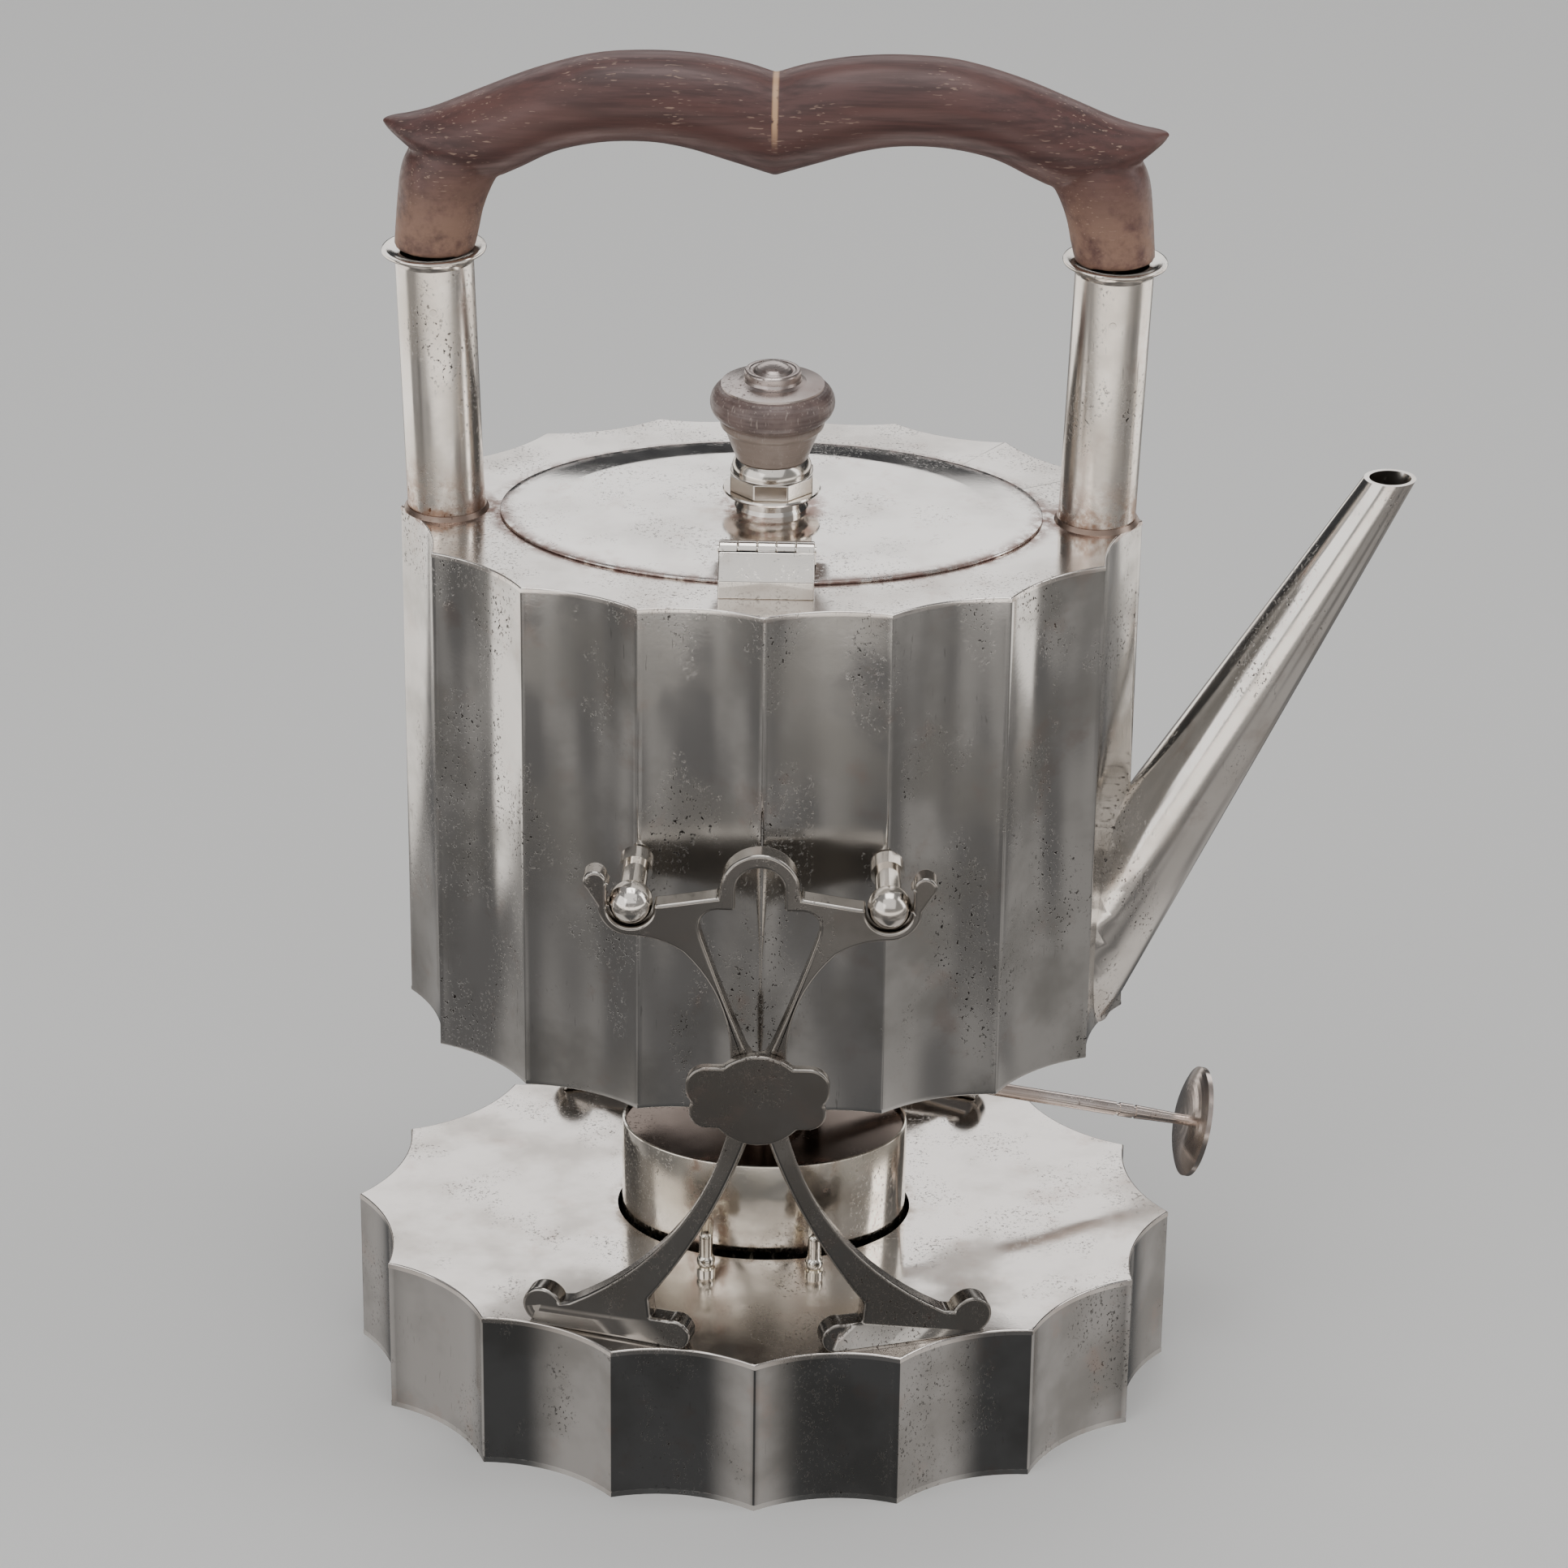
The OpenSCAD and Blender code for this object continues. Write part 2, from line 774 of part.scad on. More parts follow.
module grip_half() {
  for (i = [0 : len(grip_sections) - 2])
    hull() {
      grip_section(grip_sections[i]);
      grip_section(grip_sections[i + 1]);
    }
  // leg down to the rim
  hull() {
    grip_section(grip_sections[len(grip_sections) - 1]);
    on_socket()
      translate([0, 0, socket_height])
        cylinder(r = grip_leg_r, h = 0.2, $fn = 32);
  }
  // beak over the leg
  hull() {
    grip_section(grip_sections[len(grip_sections) - 3]);
    translate([grip_x + 1.5, 0, grip_z + 26.5])
      sphere(r = 4.8, $fn = 32);
  }
  hull() {
    translate([grip_x + 1.5, 0, grip_z + 26.5])
      sphere(r = 4.8, $fn = 32);
    translate([grip_x + 10.6, 0, grip_z + 28.4])
      sphere(r = 1, $fn = 16);
  }
  on_socket()
    translate([0, 0, socket_height - tenon_length])
      cylinder(r = tenon_r, h = tenon_length + 0.1, $fn = 48);
}

module handle_grip() {
  color(dark_wood)
    difference() {
      union() {
        grip_half();
        mirror([1, 0, 0])
          grip_half();
      }
      for (m = [0, 1])
        mirror([m, 0, 0])
          on_socket()
            translate([0, 0, rim_z - grip_pin_drop])
              rotate([90, 0, 0])
                cylinder(d = grip_pin_dia, h = 40, center = true, $fn = 24);
    }
}

module handle_pins() {
  color(silver)
    for (m = [0, 1])
      mirror([m, 0, 0])
        on_socket()
          translate([0, 0, rim_z - grip_pin_drop])
            rotate([90, 0, 0])
              cylinder(d = grip_pin_dia - 0.06, h = socket_dia + 0.4, center = true);
}

// ---- lid hinge ----------------------------------------------------------

hinge_half = 10.6;                        // half the length of the hinge
hinge_y = -lid_b + 0.1;
hinge_z = kettle_top_z + 8.5;
knuckle = 2 * hinge_half / 5;
knuckle_gap = 0.12;

// One knuckle, the n-th of five from the left.
module knuckle_tube(n)
  translate([-hinge_half + n * knuckle + knuckle_gap / 2, hinge_y, hinge_z])
    rotate([0, 90, 0])
      cylinder(d = knuckle_dia, h = knuckle - knuckle_gap);

module hinge_bore(clearance)
  translate([0, hinge_y, hinge_z])
    rotate([0, 90, 0])
      cylinder(d = hinge_pin_dia + 2 * clearance, h = 60, center = true);

module hinge_block() {
  back = hinge_y - knuckle_dia / 2 - 0.4;
  front = hinge_y - 7.6;
  color(silver)
    difference() {
      union() {
        translate([-hinge_half, 0, 0])
          rotate([90, 0, 90])
            linear_extrude(2 * hinge_half)
              polygon([[front, kettle_top_z], [back, kettle_top_z],
                       [back, hinge_z + 0.6], [front, kettle_top_z + 4.2]]);
        for (n = [0, 2, 4]) {
          knuckle_tube(n);
          translate([-hinge_half + n * knuckle + knuckle_gap / 2, back - 0.2, hinge_z - 1.9])
            cube([knuckle - knuckle_gap, hinge_y - back, 2.2]);
        }
      }
      hinge_bore(0.01);
    }
}

module hinge_pin() {
  color(silver_dark)
    translate([0, hinge_y, hinge_z])
      rotate([0, 90, 0])
        cylinder(d = hinge_pin_dia, h = 2 * hinge_half + 0.6, center = true);
}

module lid_hinge_leaf() {
  plate_z = kettle_top_z + lid_sheet;
  color(silver)
    difference() {
      union() {
        translate([-hinge_half + 1, hinge_y + 1.4, plate_z])
          cube([2 * hinge_half - 2, 8.6, 1.2]);
        for (n = [1, 3]) {
          knuckle_tube(n);
          translate([-hinge_half + n * knuckle + knuckle_gap / 2, hinge_y + 0.2, plate_z])
            cube([knuckle - knuckle_gap, 1.9, hinge_z - plate_z]);
        }
      }
      hinge_bore(seam);
    }
}

// ---- lid and knob -------------------------------------------------------

lid_top_z = kettle_top_z + lid_sheet;
stud_r = 1.6;
knob_r = knob_dia / 2;

module lid_plate() {
  color(silver)
    difference() {
      translate([0, 0, kettle_top_z])
        linear_extrude(lid_sheet)
          oval(lid_a, lid_b);
      cylinder(r = stud_r + seam, h = 2 * kettle_top_z);
    }
}

module lid_flange() {
  outer_a = opening_a - lid_clearance;
  outer_b = opening_b - lid_clearance;
  color(silver)
    translate([0, 0, kettle_top_z - lid_flange_depth])
      linear_extrude(lid_flange_depth)
        difference() {
          oval(outer_a, outer_b);
          oval(outer_a - 1.2, outer_b - 1.2);
        }
}

// Turned piece from a list of [radius, height above the lid] points.
module turned(points)
  translate([0, 0, lid_top_z])
    rotate_extrude()
      polygon(points);

knob_bore = stud_r + seam;

module knob_foot() {
  color(silver)
    turned([[knob_bore, 0], [8.4, 0], [8.4, 0.7], [7.9, 1.6], [7.8, 3.2], [8.6, 4],
            [10.9, 4.3], [11.1, 4.7], [10.9, 5.1], [knob_bore, 5.1]]);
}

module knob_cup() {
  color(silver)
    difference() {
      union() {
        translate([0, 0, lid_top_z + 5.1])
          rotate([0, 0, 22.5])
            cylinder(r = 10.1, h = 3.8, $fn = 8);
        turned(concat([[0, 8], [9.1, 8]],
                      arc_points([9.1, 8.9], [8.9, 10.8], [7.9, 12.4], 8), [[7.6, 12.6], [0, 12.6]]));
      }
      cylinder(r = knob_bore, h = 2 * kettle_top_z);
    }
}

module knob_wood() {
  color(knob_wood_colour)
    turned(concat(
      [[knob_bore, 12.6], [8.2, 12.6], [8.9, 14.4], [9.8, 16.8], [10.7, 19.2], [11, 19.5]],
      arc_points([11.3, 19.8], [11.8, 20.7], [11.4, 21.6], 6),
      arc_points([11.7, 22], [knob_r, 24.2], [11.6, 29.6], 14),
      [[knob_bore, 29.6]]));
}

module knob_cap() {
  color(silver)
    turned(concat(
      [[0, 31], [stud_r + 0.4, 31], [stud_r + 0.4, 29.6], [11.7, 29.6], [11.7, 30.1],
       [7.6, 30.7], [6.7, 31.1], [6.4, 31.7], [6.4, 32.6]],
      arc_points([6.4, 33], [5.9, 33.6], [5.1, 33.3], 5),
      arc_points([4.6, 33.2], [2.7, 34.7], [0, 35.3], 7)));
}

module knob_stud() {
  color(silver_dark)
    translate([0, 0, kettle_top_z - 4])
      cylinder(r = stud_r, h = lid_sheet + 4 + 30.8);
}

module knob_nut() {
  color(silver_dark)
    translate([0, 0, kettle_top_z - 2.6])
      difference() {
        cylinder(r = 4, h = 2.6, $fn = 6);
        translate([0, 0, -1])
          cylinder(r = stud_r + seam, h = 5);
      }
}

// ---- the pieces ---------------------------------------------------------

base_wall();
base_top();
base_floor();
front_bracket();
back_bracket();
front_left_leg();
front_right_leg();
back_left_leg();
back_right_leg();
front_lobed_plate();
back_lobed_plate();
burner_can();
burner_top();
burner_pins();
wick_tube();
winder_bearing();
wick();
winder_wheel();
winder_shaft();
winder_disc();
pivot_balls();
rest_balls();
left_pegs();
right_pegs();
kettle_wall();
kettle_bottom();
kettle_top();
spout();
left_socket();
right_socket();
left_socket_rim();
right_socket_rim();
left_socket_seam();
right_socket_seam();
handle_grip();
handle_pins();
hinge_block();
hinge_pin();
lid_hinge_leaf();
lid_plate();
lid_flange();
knob_foot();
knob_cup();
knob_wood();
knob_cap();
knob_stud();
knob_nut();
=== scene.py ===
"""Looks of a silver spirit kettle hung on its stand over a spirit burner, built round the
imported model."""

import math

import bpy
from mathutils import Matrix, Vector


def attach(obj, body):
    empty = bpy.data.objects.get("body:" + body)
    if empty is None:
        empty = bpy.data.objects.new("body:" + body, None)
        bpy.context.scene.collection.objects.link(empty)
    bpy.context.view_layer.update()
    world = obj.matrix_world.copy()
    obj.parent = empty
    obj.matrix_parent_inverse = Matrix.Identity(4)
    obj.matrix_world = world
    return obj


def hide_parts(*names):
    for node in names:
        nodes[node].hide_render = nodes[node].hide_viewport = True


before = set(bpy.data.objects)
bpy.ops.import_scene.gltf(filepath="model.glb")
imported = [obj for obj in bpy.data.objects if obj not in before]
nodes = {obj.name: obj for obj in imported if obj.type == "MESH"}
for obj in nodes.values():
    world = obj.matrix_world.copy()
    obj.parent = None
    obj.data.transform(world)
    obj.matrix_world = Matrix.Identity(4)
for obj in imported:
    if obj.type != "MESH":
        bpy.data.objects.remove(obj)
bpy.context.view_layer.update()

MM = 0.001

# ---- sizes, in millimetres, as in the part's own source --------------------------------
BASE_HALF = (98, 73.5)
BASE_HEIGHT = 40
BASE_SHEET = 1.4
BASE_HOLLOW = 3.8
KETTLE_HALF = (84.4, 58)
KETTLE_Z = 96.4
KETTLE_TOP = 221.8
KETTLE_SHEET = 1.2
KETTLE_HOLLOW = 2.6
LID_HALF = (61.7, 40.5)
LID_SHEET = 1.6
OPENING_HALF = (57.1, 35.9)
BURNER_HALF = (34.2, 24)
BURNER_HOLE = (35.3, 26.8)
BURNER_LOW = 18
BURNER_RIM = 64
BURNER_WALL = 0.9
PIN_PLACE = (12.8, 32.4)
PIN_HOLE = 1.9
DRILL_LENGTH = 6
PIN_ROOT_Y = 23
FLANGE_GAP = 1
FLANGE_WALL = 1.2
FLANGE_DEPTH = 4.4
SOCKET_X = 73.9
SOCKET_LEAN = math.radians(1.7)
SOCKET_HEIGHT = 63
SOCKET_RADIUS = 9.4
FLUTES = 16
ARRIS = 0.35

# ---- how finely the shapes are divided
FLUTE_STEPS = 22
OVAL_STEPS = 720
LID_SIDES = 160
GRIP_SIDES = 40
GRIP_STEPS = 5


# ---- making pieces ---------------------------------------------------------------------

def start_clean():
    """Nothing selected, object mode."""
    if bpy.context.object and bpy.context.object.mode != "OBJECT":
        bpy.ops.object.mode_set(mode="OBJECT")
    bpy.ops.object.select_all(action="DESELECT")


def take(piece):
    """Makes one piece the selected and active one."""
    start_clean()
    piece.select_set(True)
    bpy.context.view_layer.objects.active = piece


def apply_modifier(piece, kind, **settings):
    """Adds a modifier with its settings and applies it."""
    take(piece)
    modifier = piece.modifiers.new(kind.lower(), kind)
    for key, value in settings.items():
        setattr(modifier, key, value)
    bpy.ops.object.modifier_apply(modifier=modifier.name)


def place_ring(piece, places):
    """Puts the selected loop of points at these places, in millimetres."""
    bpy.ops.object.mode_set(mode="OBJECT")
    loop = [v for v in piece.data.vertices if v.select]
    for point, place in zip(loop, places):
        point.co = Vector(place) * MM
    bpy.ops.object.mode_set(mode="EDIT")


def loft(name, rings, shut=True):
    """A skin over a row of rings, each extruded from the one before. Shut, it has a face at
    both ends; otherwise its last ring meets its first."""
    start_clean()
    bpy.ops.mesh.primitive_circle_add(vertices=len(rings[0]), radius=1)
    piece = bpy.context.object
    piece.name = piece.data.name = name
    bpy.ops.object.mode_set(mode="EDIT")
    bpy.ops.mesh.select_all(action="SELECT")
    place_ring(piece, rings[0])
    if shut:
        bpy.ops.mesh.edge_face_add()
    for ring in rings[1:]:
        if shut:
            bpy.ops.mesh.extrude_region_move()
        else:
            bpy.ops.mesh.extrude_edges_move()
        place_ring(piece, ring)
    bpy.ops.mesh.select_all(action="SELECT")
    bpy.ops.mesh.remove_doubles(threshold=1e-6)
    bpy.ops.mesh.normals_make_consistent(inside=False)
    bpy.ops.object.mode_set(mode="OBJECT")
    return piece


def oval(half, z, sides=128, grow=0.0):
    """Ring of points on a level oval, the first at the front."""
    return [((half[0] + grow) * math.sin(2 * math.pi * i / sides),
             -(half[1] + grow) * math.cos(2 * math.pi * i / sides), z) for i in range(sides)]


def round_ring(radius, z, sides=64):
    """Ring of points on a level circle."""
    return oval((radius, radius), z, sides)


def cusps(half):
    """The arrises of the flutes: points spaced equally along an oval, the first at the front."""
    points = [p[:2] for p in oval(half, 0, OVAL_STEPS)]
    points.append(points[0])
    runs = [0.0]
    for p, q in zip(points, points[1:]):
        runs.append(runs[-1] + math.dist(p, q))
    found, i = [], 0
    for k in range(FLUTES):
        goal = runs[-1] * k / FLUTES
        while runs[i + 1] < goal:
            i += 1
        t = (goal - runs[i]) / (runs[i + 1] - runs[i])
        angle = 2 * math.pi * (i + t) / OVAL_STEPS
        found.append((half[0] * math.sin(angle), -half[1] * math.cos(angle)))
    return found


def fluted(half, hollow, z, inset=0.0):
    """Ring of points along an oval of sixteen hollow flutes, set in by a distance."""
    corners = cusps(half)
    ring = []
    for k in range(FLUTES):
        p, q = Vector(corners[k]), Vector(corners[(k + 1) % FLUTES])
        chord = (q - p).length
        radius = (chord * chord / 4 + hollow * hollow) / (2 * hollow)
        along = (q - p) / chord
        outward = Vector((along.y, -along.x))
        centre = (p + q) / 2 + outward * (radius - hollow)
        sweep = 2 * math.asin(chord / 2 / radius)
        for step in range(FLUTE_STEPS):
            turn = (step / FLUTE_STEPS - 0.5) * sweep
            at = centre - outward * math.cos(turn) * radius + along * math.sin(turn) * radius
            ring.append([at.x, at.y, z])
    if inset:
        flat = [Vector(p[:2]) for p in ring]
        count = len(flat)
        for i, point in enumerate(flat):
            before = (point - flat[i - 1]).normalized()
            after = (flat[(i + 1) % count] - point).normalized()
            lean = Vector((before.y, -before.x)) + Vector((after.y, -after.x))
            lean = lean / max(lean.length_squared / 2, 0.8)
            ring[i] = [point.x - lean.x * inset, point.y - lean.y * inset, z]
    return ring


def edges_where(piece, test):
    """In edit mode, selects only the edges whose two ends pass the test (in millimetres)."""
    bpy.ops.mesh.select_mode(type="EDGE")
    bpy.ops.mesh.select_all(action="DESELECT")
    bpy.ops.object.mode_set(mode="OBJECT")
    points = piece.data.vertices
    for edge in piece.data.edges:
        a, b = (points[i].co / MM for i in edge.vertices)
        edge.select = test(a, b)
    bpy.ops.object.mode_set(mode="EDIT")


def bevel_where(piece, test, width, segments):
    """Rounds the chosen edges by a width in millimetres."""
    take(piece)
    bpy.ops.object.mode_set(mode="EDIT")
    edges_where(piece, test)
    bpy.ops.mesh.bevel(offset=width * MM, segments=segments, profile=0.5, affect="EDGES")
    bpy.ops.mesh.select_mode(type="VERT")
    bpy.ops.object.mode_set(mode="OBJECT")


def smooth(piece, angle):
    """Smooth shading that keeps the arrises sharper than this angle, in degrees."""
    take(piece)
    bpy.ops.object.shade_smooth_by_angle(angle=math.radians(angle))


def finish_piece(piece, material, body, slot, *replaced, angle=32, flat=False):
    """Gives a finished piece its material and its body, and hides the nodes it stands for. Its slot
    is not used.
    Where it has flat faces, they are shaded flat right up to their rounded edges."""
    smooth(piece, angle)
    if flat:
        apply_modifier(piece, "WEIGHTED_NORMAL", weight=100, keep_sharp=True)
    piece.data.materials.clear()
    piece.data.materials.append(material)
    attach(piece, body)
    if replaced:
        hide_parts(*replaced)
    return piece


def on_socket(piece, side):
    """Stands a piece drawn about the Z axis on the foot of a handle socket, leaning out."""
    take(piece)
    piece.rotation_euler = (0, side * SOCKET_LEAN, 0)
    piece.location = (side * SOCKET_X * MM, 0, KETTLE_TOP * MM)
    bpy.ops.object.transform_apply(location=True, rotation=True, scale=True)


def mirrored(piece, name, axis):
    """A copy on the other side, with its faces turned back outwards."""
    take(piece)
    bpy.ops.object.duplicate()
    copy = bpy.context.object
    copy.name = copy.data.name = name
    copy.scale[axis] = -1
    bpy.ops.object.transform_apply(location=True, rotation=True, scale=True)
    bpy.ops.object.mode_set(mode="EDIT")
    bpy.ops.mesh.select_all(action="SELECT")
    bpy.ops.mesh.normals_make_consistent(inside=False)
    bpy.ops.object.mode_set(mode="OBJECT")
    return copy


# ---- materials -------------------------------------------------------------------------

def colour(hexed):
    """An sRGB hex colour as linear RGBA."""
    parts = [int(hexed[i:i + 2], 16) / 255 for i in (1, 3, 5)]
    return tuple(c / 12.92 if c <= 0.04045 else ((c + 0.055) / 1.055) ** 2.4 for c in parts) + (1.0,)


SMOOTH = {"interpolation_type": "SMOOTHSTEP"}
MASK = {"operation": "MULTIPLY", "use_clamp": True}
SUM = {"operation": "ADD", "use_clamp": True}
LARGER = {"operation": "MAXIMUM"}
SIZE = {"operation": "ABSOLUTE"}
COLOURS = {"data_type": "RGBA"}
PITTED = {"invert": True}
# the slow waves left by the hammer are about 26 mm apart
HAMMER = 26


def add(tree, kind, settings, inputs, out=0):
    """Adds a node with its settings, and links or values for its inputs, and gives one of its
    outputs."""
    node = tree.nodes.new("ShaderNode" + kind)
    for key, value in settings.items():
        setattr(node, key, value)
    for key, value in inputs.items():
        if isinstance(value, bpy.types.NodeSocket):
            tree.links.new(value, node.inputs[key])
        else:
            node.inputs[key].default_value = value
    return node.outputs[out] if node.outputs else node


def new_material(name):
    """An empty node material: its tree, its shader and the object coordinates."""
    material = bpy.data.materials.new(name)
    material.use_nodes = True
    tree = material.node_tree
    tree.nodes.clear()
    surface = add(tree, "BsdfPrincipled", {}, {})
    add(tree, "OutputMaterial", {}, {"Surface": surface})
    return material, tree, surface.node, add(tree, "TexCoord", {}, {}, "Object")


def patches(tree, place, size, low, high, detail=3.0, rough=0.55, stretch=(1, 1, 1),
            shift=(0, 0, 0)):
    """A mask of patches of about this size in millimetres, which rises from 0 to 1 where the
    noise goes from low to high."""
    moved = add(tree, "Mapping", {}, {"Vector": place, "Scale": stretch, "Location": shift})
    grain = add(tree, "TexNoise", {}, {"Vector": moved, "Scale": 1 / (size * 2 * MM),
                                       "Detail": detail, "Roughness": rough})
    return add(tree, "MapRange", SMOOTH, {0: grain, 1: low, 2: high})


def oval_reach(tree, place, centre, half):
    """0 on the upright axis of an oval, 1 on the oval itself."""
    moved = add(tree, "VectorMath", {"operation": "SUBTRACT"}, {0: place, 1: Vector(centre) * MM})
    scaled = add(tree, "VectorMath", {"operation": "MULTIPLY"},
                 {0: moved, 1: (1 / MM / half[0], 1 / MM / half[1], 0)})
    return add(tree, "VectorMath", {"operation": "LENGTH"}, {0: scaled}, "Value")


def ring_mask(tree, place, centre, half, width):
    """1 on an upright oval line, fading to 0 at this distance from it, in millimetres."""
    away = oval_reach(tree, place, centre, half)
    off = add(tree, "Math", {"operation": "SUBTRACT"}, {0: away, 1: 1.0})
    off = add(tree, "Math", SIZE, {0: off})
    return add(tree, "MapRange", SMOOTH, {0: off, 1: 0, 2: width / half[1], 3: 1, 4: 0})


def height_mask(tree, place, low, high):
    """Rises from 0 at one height to 1 at another, in millimetres."""
    z = add(tree, "SeparateXYZ", {}, {0: place}, "Z")
    return add(tree, "MapRange", SMOOTH, {0: z, 1: low * MM, 2: high * MM})


def silver(name, clean, dull, pitting, shine, pits, waves, seams=(), foot=None, inside=None):
    """Silver, hand polished: clean and dulled patches, dark pits in clusters, fine scratches,
    slow waves from the hammer, and pinkish tarnish along its seams (upright oval lines). The
    shine is its roughness where clean and where dull. A foot is a stain that grows downwards,
    and inside is an oval within which all takes a darker colour, as painted shade."""
    material, tree, shader, place = new_material(name)
    cloud = patches(tree, place, 14, 0.40, 0.66, 4.0)
    base = add(tree, "Mix", COLOURS, {0: cloud, 6: colour(clean), 7: colour(dull)}, 2)
    # pits about 0.4 mm across, in clusters about 10 mm across that run up and down
    cluster = patches(tree, place, 8, 0.49, 0.62, 3.0, 0.55, (1, 1, 0.5), (0.31, 0.12, 0.07))
    speck = patches(tree, place, 0.38, 0.585, 0.635, 3.0, 0.7, (1, 1, 0.75))
    pit = add(tree, "Math", MASK, {0: add(tree, "Math", MASK, {0: cluster, 1: speck}), 1: pits})
    # short strokes where a cloth dragged grit, about 0.25 mm wide and 5 mm long
    stroke = patches(tree, place, 0.28, 0.66, 0.72, 1.5, 0.5, (1, 1, 0.12), (0.5, 0.2, 0.4))
    dragged = patches(tree, place, 17, 0.52, 0.66, 1.0, shift=(0.9, 0.4, 0.2))
    stroke = add(tree, "Math", MASK, {0: add(tree, "Math", MASK, {0: stroke, 1: dragged}), 1: 0.5})
    marked = add(tree, "Mix", COLOURS, {0: pit, 6: base, 7: colour(pitting)}, 2)
    marked = add(tree, "Mix", COLOURS, {0: stroke, 6: marked, 7: colour("#8d8a86")}, 2)
    # rosy bloom of old tarnish, about 10 mm across
    bloom = patches(tree, place, 7, 0.55, 0.75, 4.0, 0.65, shift=(0.15, 0.6, 0.33))
    bloom = add(tree, "Math", MASK, {0: bloom, 1: 0.35})
    marked = add(tree, "Mix", COLOURS, {0: bloom, 6: marked, 7: colour("#b39a8e")}, 2)
    stain = patches(tree, place, 2.4, 0.34, 0.62, 4.0, 0.7)
    tarnish = [(ring_mask(tree, place, centre, half, width), shade, strength)
               for centre, half, width, shade, strength in seams]
    if foot:
        low, high, shade, strength = foot
        tarnish.append((height_mask(tree, place, low, high), shade, strength))
    # painted shade: all within the oval is coloured darker
    if inside:
        reach = oval_reach(tree, place, (0, 0, 0), inside[0])
        within = add(tree, "MapRange", SMOOTH, {0: reach, 1: 0.985, 2: 0.975})
        marked = add(tree, "Mix", COLOURS, {0: within, 6: marked, 7: colour(inside[1])}, 2)
    rough = add(tree, "Math", SUM, {0: add(tree, "Math", MASK, {0: cloud, 1: shine[1] - shine[0]}),
                                    1: shine[0]})
    rough = add(tree, "Math", SUM, {0: add(tree, "Math", MASK, {0: pit, 1: 0.35}), 1: rough})
    for mask, shade, strength in tarnish:
        mask = add(tree, "Math", MASK, {0: add(tree, "Math", MASK, {0: mask, 1: stain}), 1: strength})
        marked = add(tree, "Mix", COLOURS, {0: mask, 6: marked, 7: colour(shade)}, 2)
        rough = add(tree, "Math", SUM, {0: add(tree, "Math", MASK, {0: mask, 1: 0.3}), 1: rough})
    hammer = add(tree, "TexNoise", {}, {"Vector": place, "Scale": 1 / (HAMMER * MM), "Detail": 1.5})
    wave = add(tree, "Bump", {}, {"Height": hammer, "Distance": waves * HAMMER * MM, "Strength": 0.5})
    fine = add(tree, "TexNoise", {}, {"Vector": place, "Scale": 1 / (0.9 * MM), "Detail": 3.0})
    polish = add(tree, "Bump", {}, {"Height": fine, "Distance": 0.012 * MM, "Strength": 0.35,
                                    "Normal": wave})
    dents = add(tree, "Bump", PITTED, {"Height": pit, "Distance": 0.05 * MM, "Strength": 0.6,
                                       "Normal": polish})
    shader.inputs["Metallic"].default_value = 1.0
    tree.links.new(marked, shader.inputs["Base Color"])
    tree.links.new(rough, shader.inputs["Roughness"])
    tree.links.new(dents, shader.inputs["Normal"])
    return material


LID_SEAM = ((0, 0, 0), LID_HALF, 3.0, "#8d7068", 0.85)
KNOB_SEAM = ((0, 0, 0), (9.5, 9.5), 5.5, "#9a7468", 0.8)
POST_SEAMS = tuple(((x * SOCKET_X, 0, 0), (SOCKET_RADIUS, SOCKET_RADIUS), 4.5, "#7d5a4c", 0.8)
                   for x in (-1, 1))
HOLE_SEAM = ((0, 0, 0), BURNER_HOLE, 2.5, "#97826c", 0.6)
PIN_SEAMS = tuple(((x * PIN_PLACE[0], y * PIN_ROOT_Y, 0), (3.5, 3.5), 4.0, "#7c5138", 0.7)
                  for x in (-1, 1) for y in (-1, 1))

# Sterling silver sheet, bent over a stake and hand polished: a soft mirror, pitted in clusters, its
# grey partly painted shade, darker than bare silver
wall_silver = silver("sterling_sheet_polished", "#cfccc8", "#adaaa5", "#231e1c", (0.11, 0.22), 1.0,
                     0.012)
# The base's side is painted darker than the kettle's, as painted shade
side_silver = silver("sterling_base_side_polished", "#b3b0ad", "#989591", "#2c2624", (0.10, 0.20),
                     0.7, 0.012)
# The same sheet lying flat, painted paler as painted light where it faces up, with tarnish where lid
# and sockets meet it
top_silver = silver("sterling_top_planished", "#e9e3dd", "#d5cec7", "#4b4340", (0.09, 0.20), 0.6,
                    0.016, (LID_SEAM,) + POST_SEAMS)
# The lid: painted the palest, as painted light on its upward face, and the flattest mirror, rosy
# round the knob's foot
lid_silver = silver("sterling_lid_planished", "#f1ece7", "#e0dad4", "#4b4340", (0.08, 0.17), 0.45,
                    0.010, (LID_SEAM, KNOB_SEAM))
# The base's top, uneven under the hammer, browned round the burner's hole, and painted paler than the
# base's side as painted light where it faces up
base_silver = silver("sterling_base_planished", "#e6dfd9", "#cbc3bb", "#4b4340", (0.10, 0.26), 0.55,
                     0.020, (HOLE_SEAM,))
# Cast brackets and legs, filed and burnished: more pitted than the sheet, and painted darker as
# painted shade
cast_silver = silver("sterling_cast_burnished", "#aaa59f", "#8b8680", "#2c2523", (0.14, 0.26), 0.8,
                     0.006)
# Small fittings of the handle, hinge and knob, paler than the sheet
fitting_silver = silver("sterling_fittings_polished", "#e9e3db", "#cec6bd", "#3a322f", (0.10, 0.20),
                        0.5, 0.006)
# The knob's cap, less often rubbed: satin and pinkish
cap_silver = silver("sterling_cap_tarnished", "#bfb4af", "#9b8d88", "#4a3a36", (0.26, 0.38), 0.7,
                    0.006)
# Drawn tube, frosted by pits, brown where heat met its foot, its near-white colour partly painted
# light
socket_silver = silver("sterling_tube_drawn", "#f3ede6", "#dfd7cd", "#2b2523", (0.12, 0.24), 1.0,
                       0.008, (), (238, 223, "#8c5a34", 0.75))
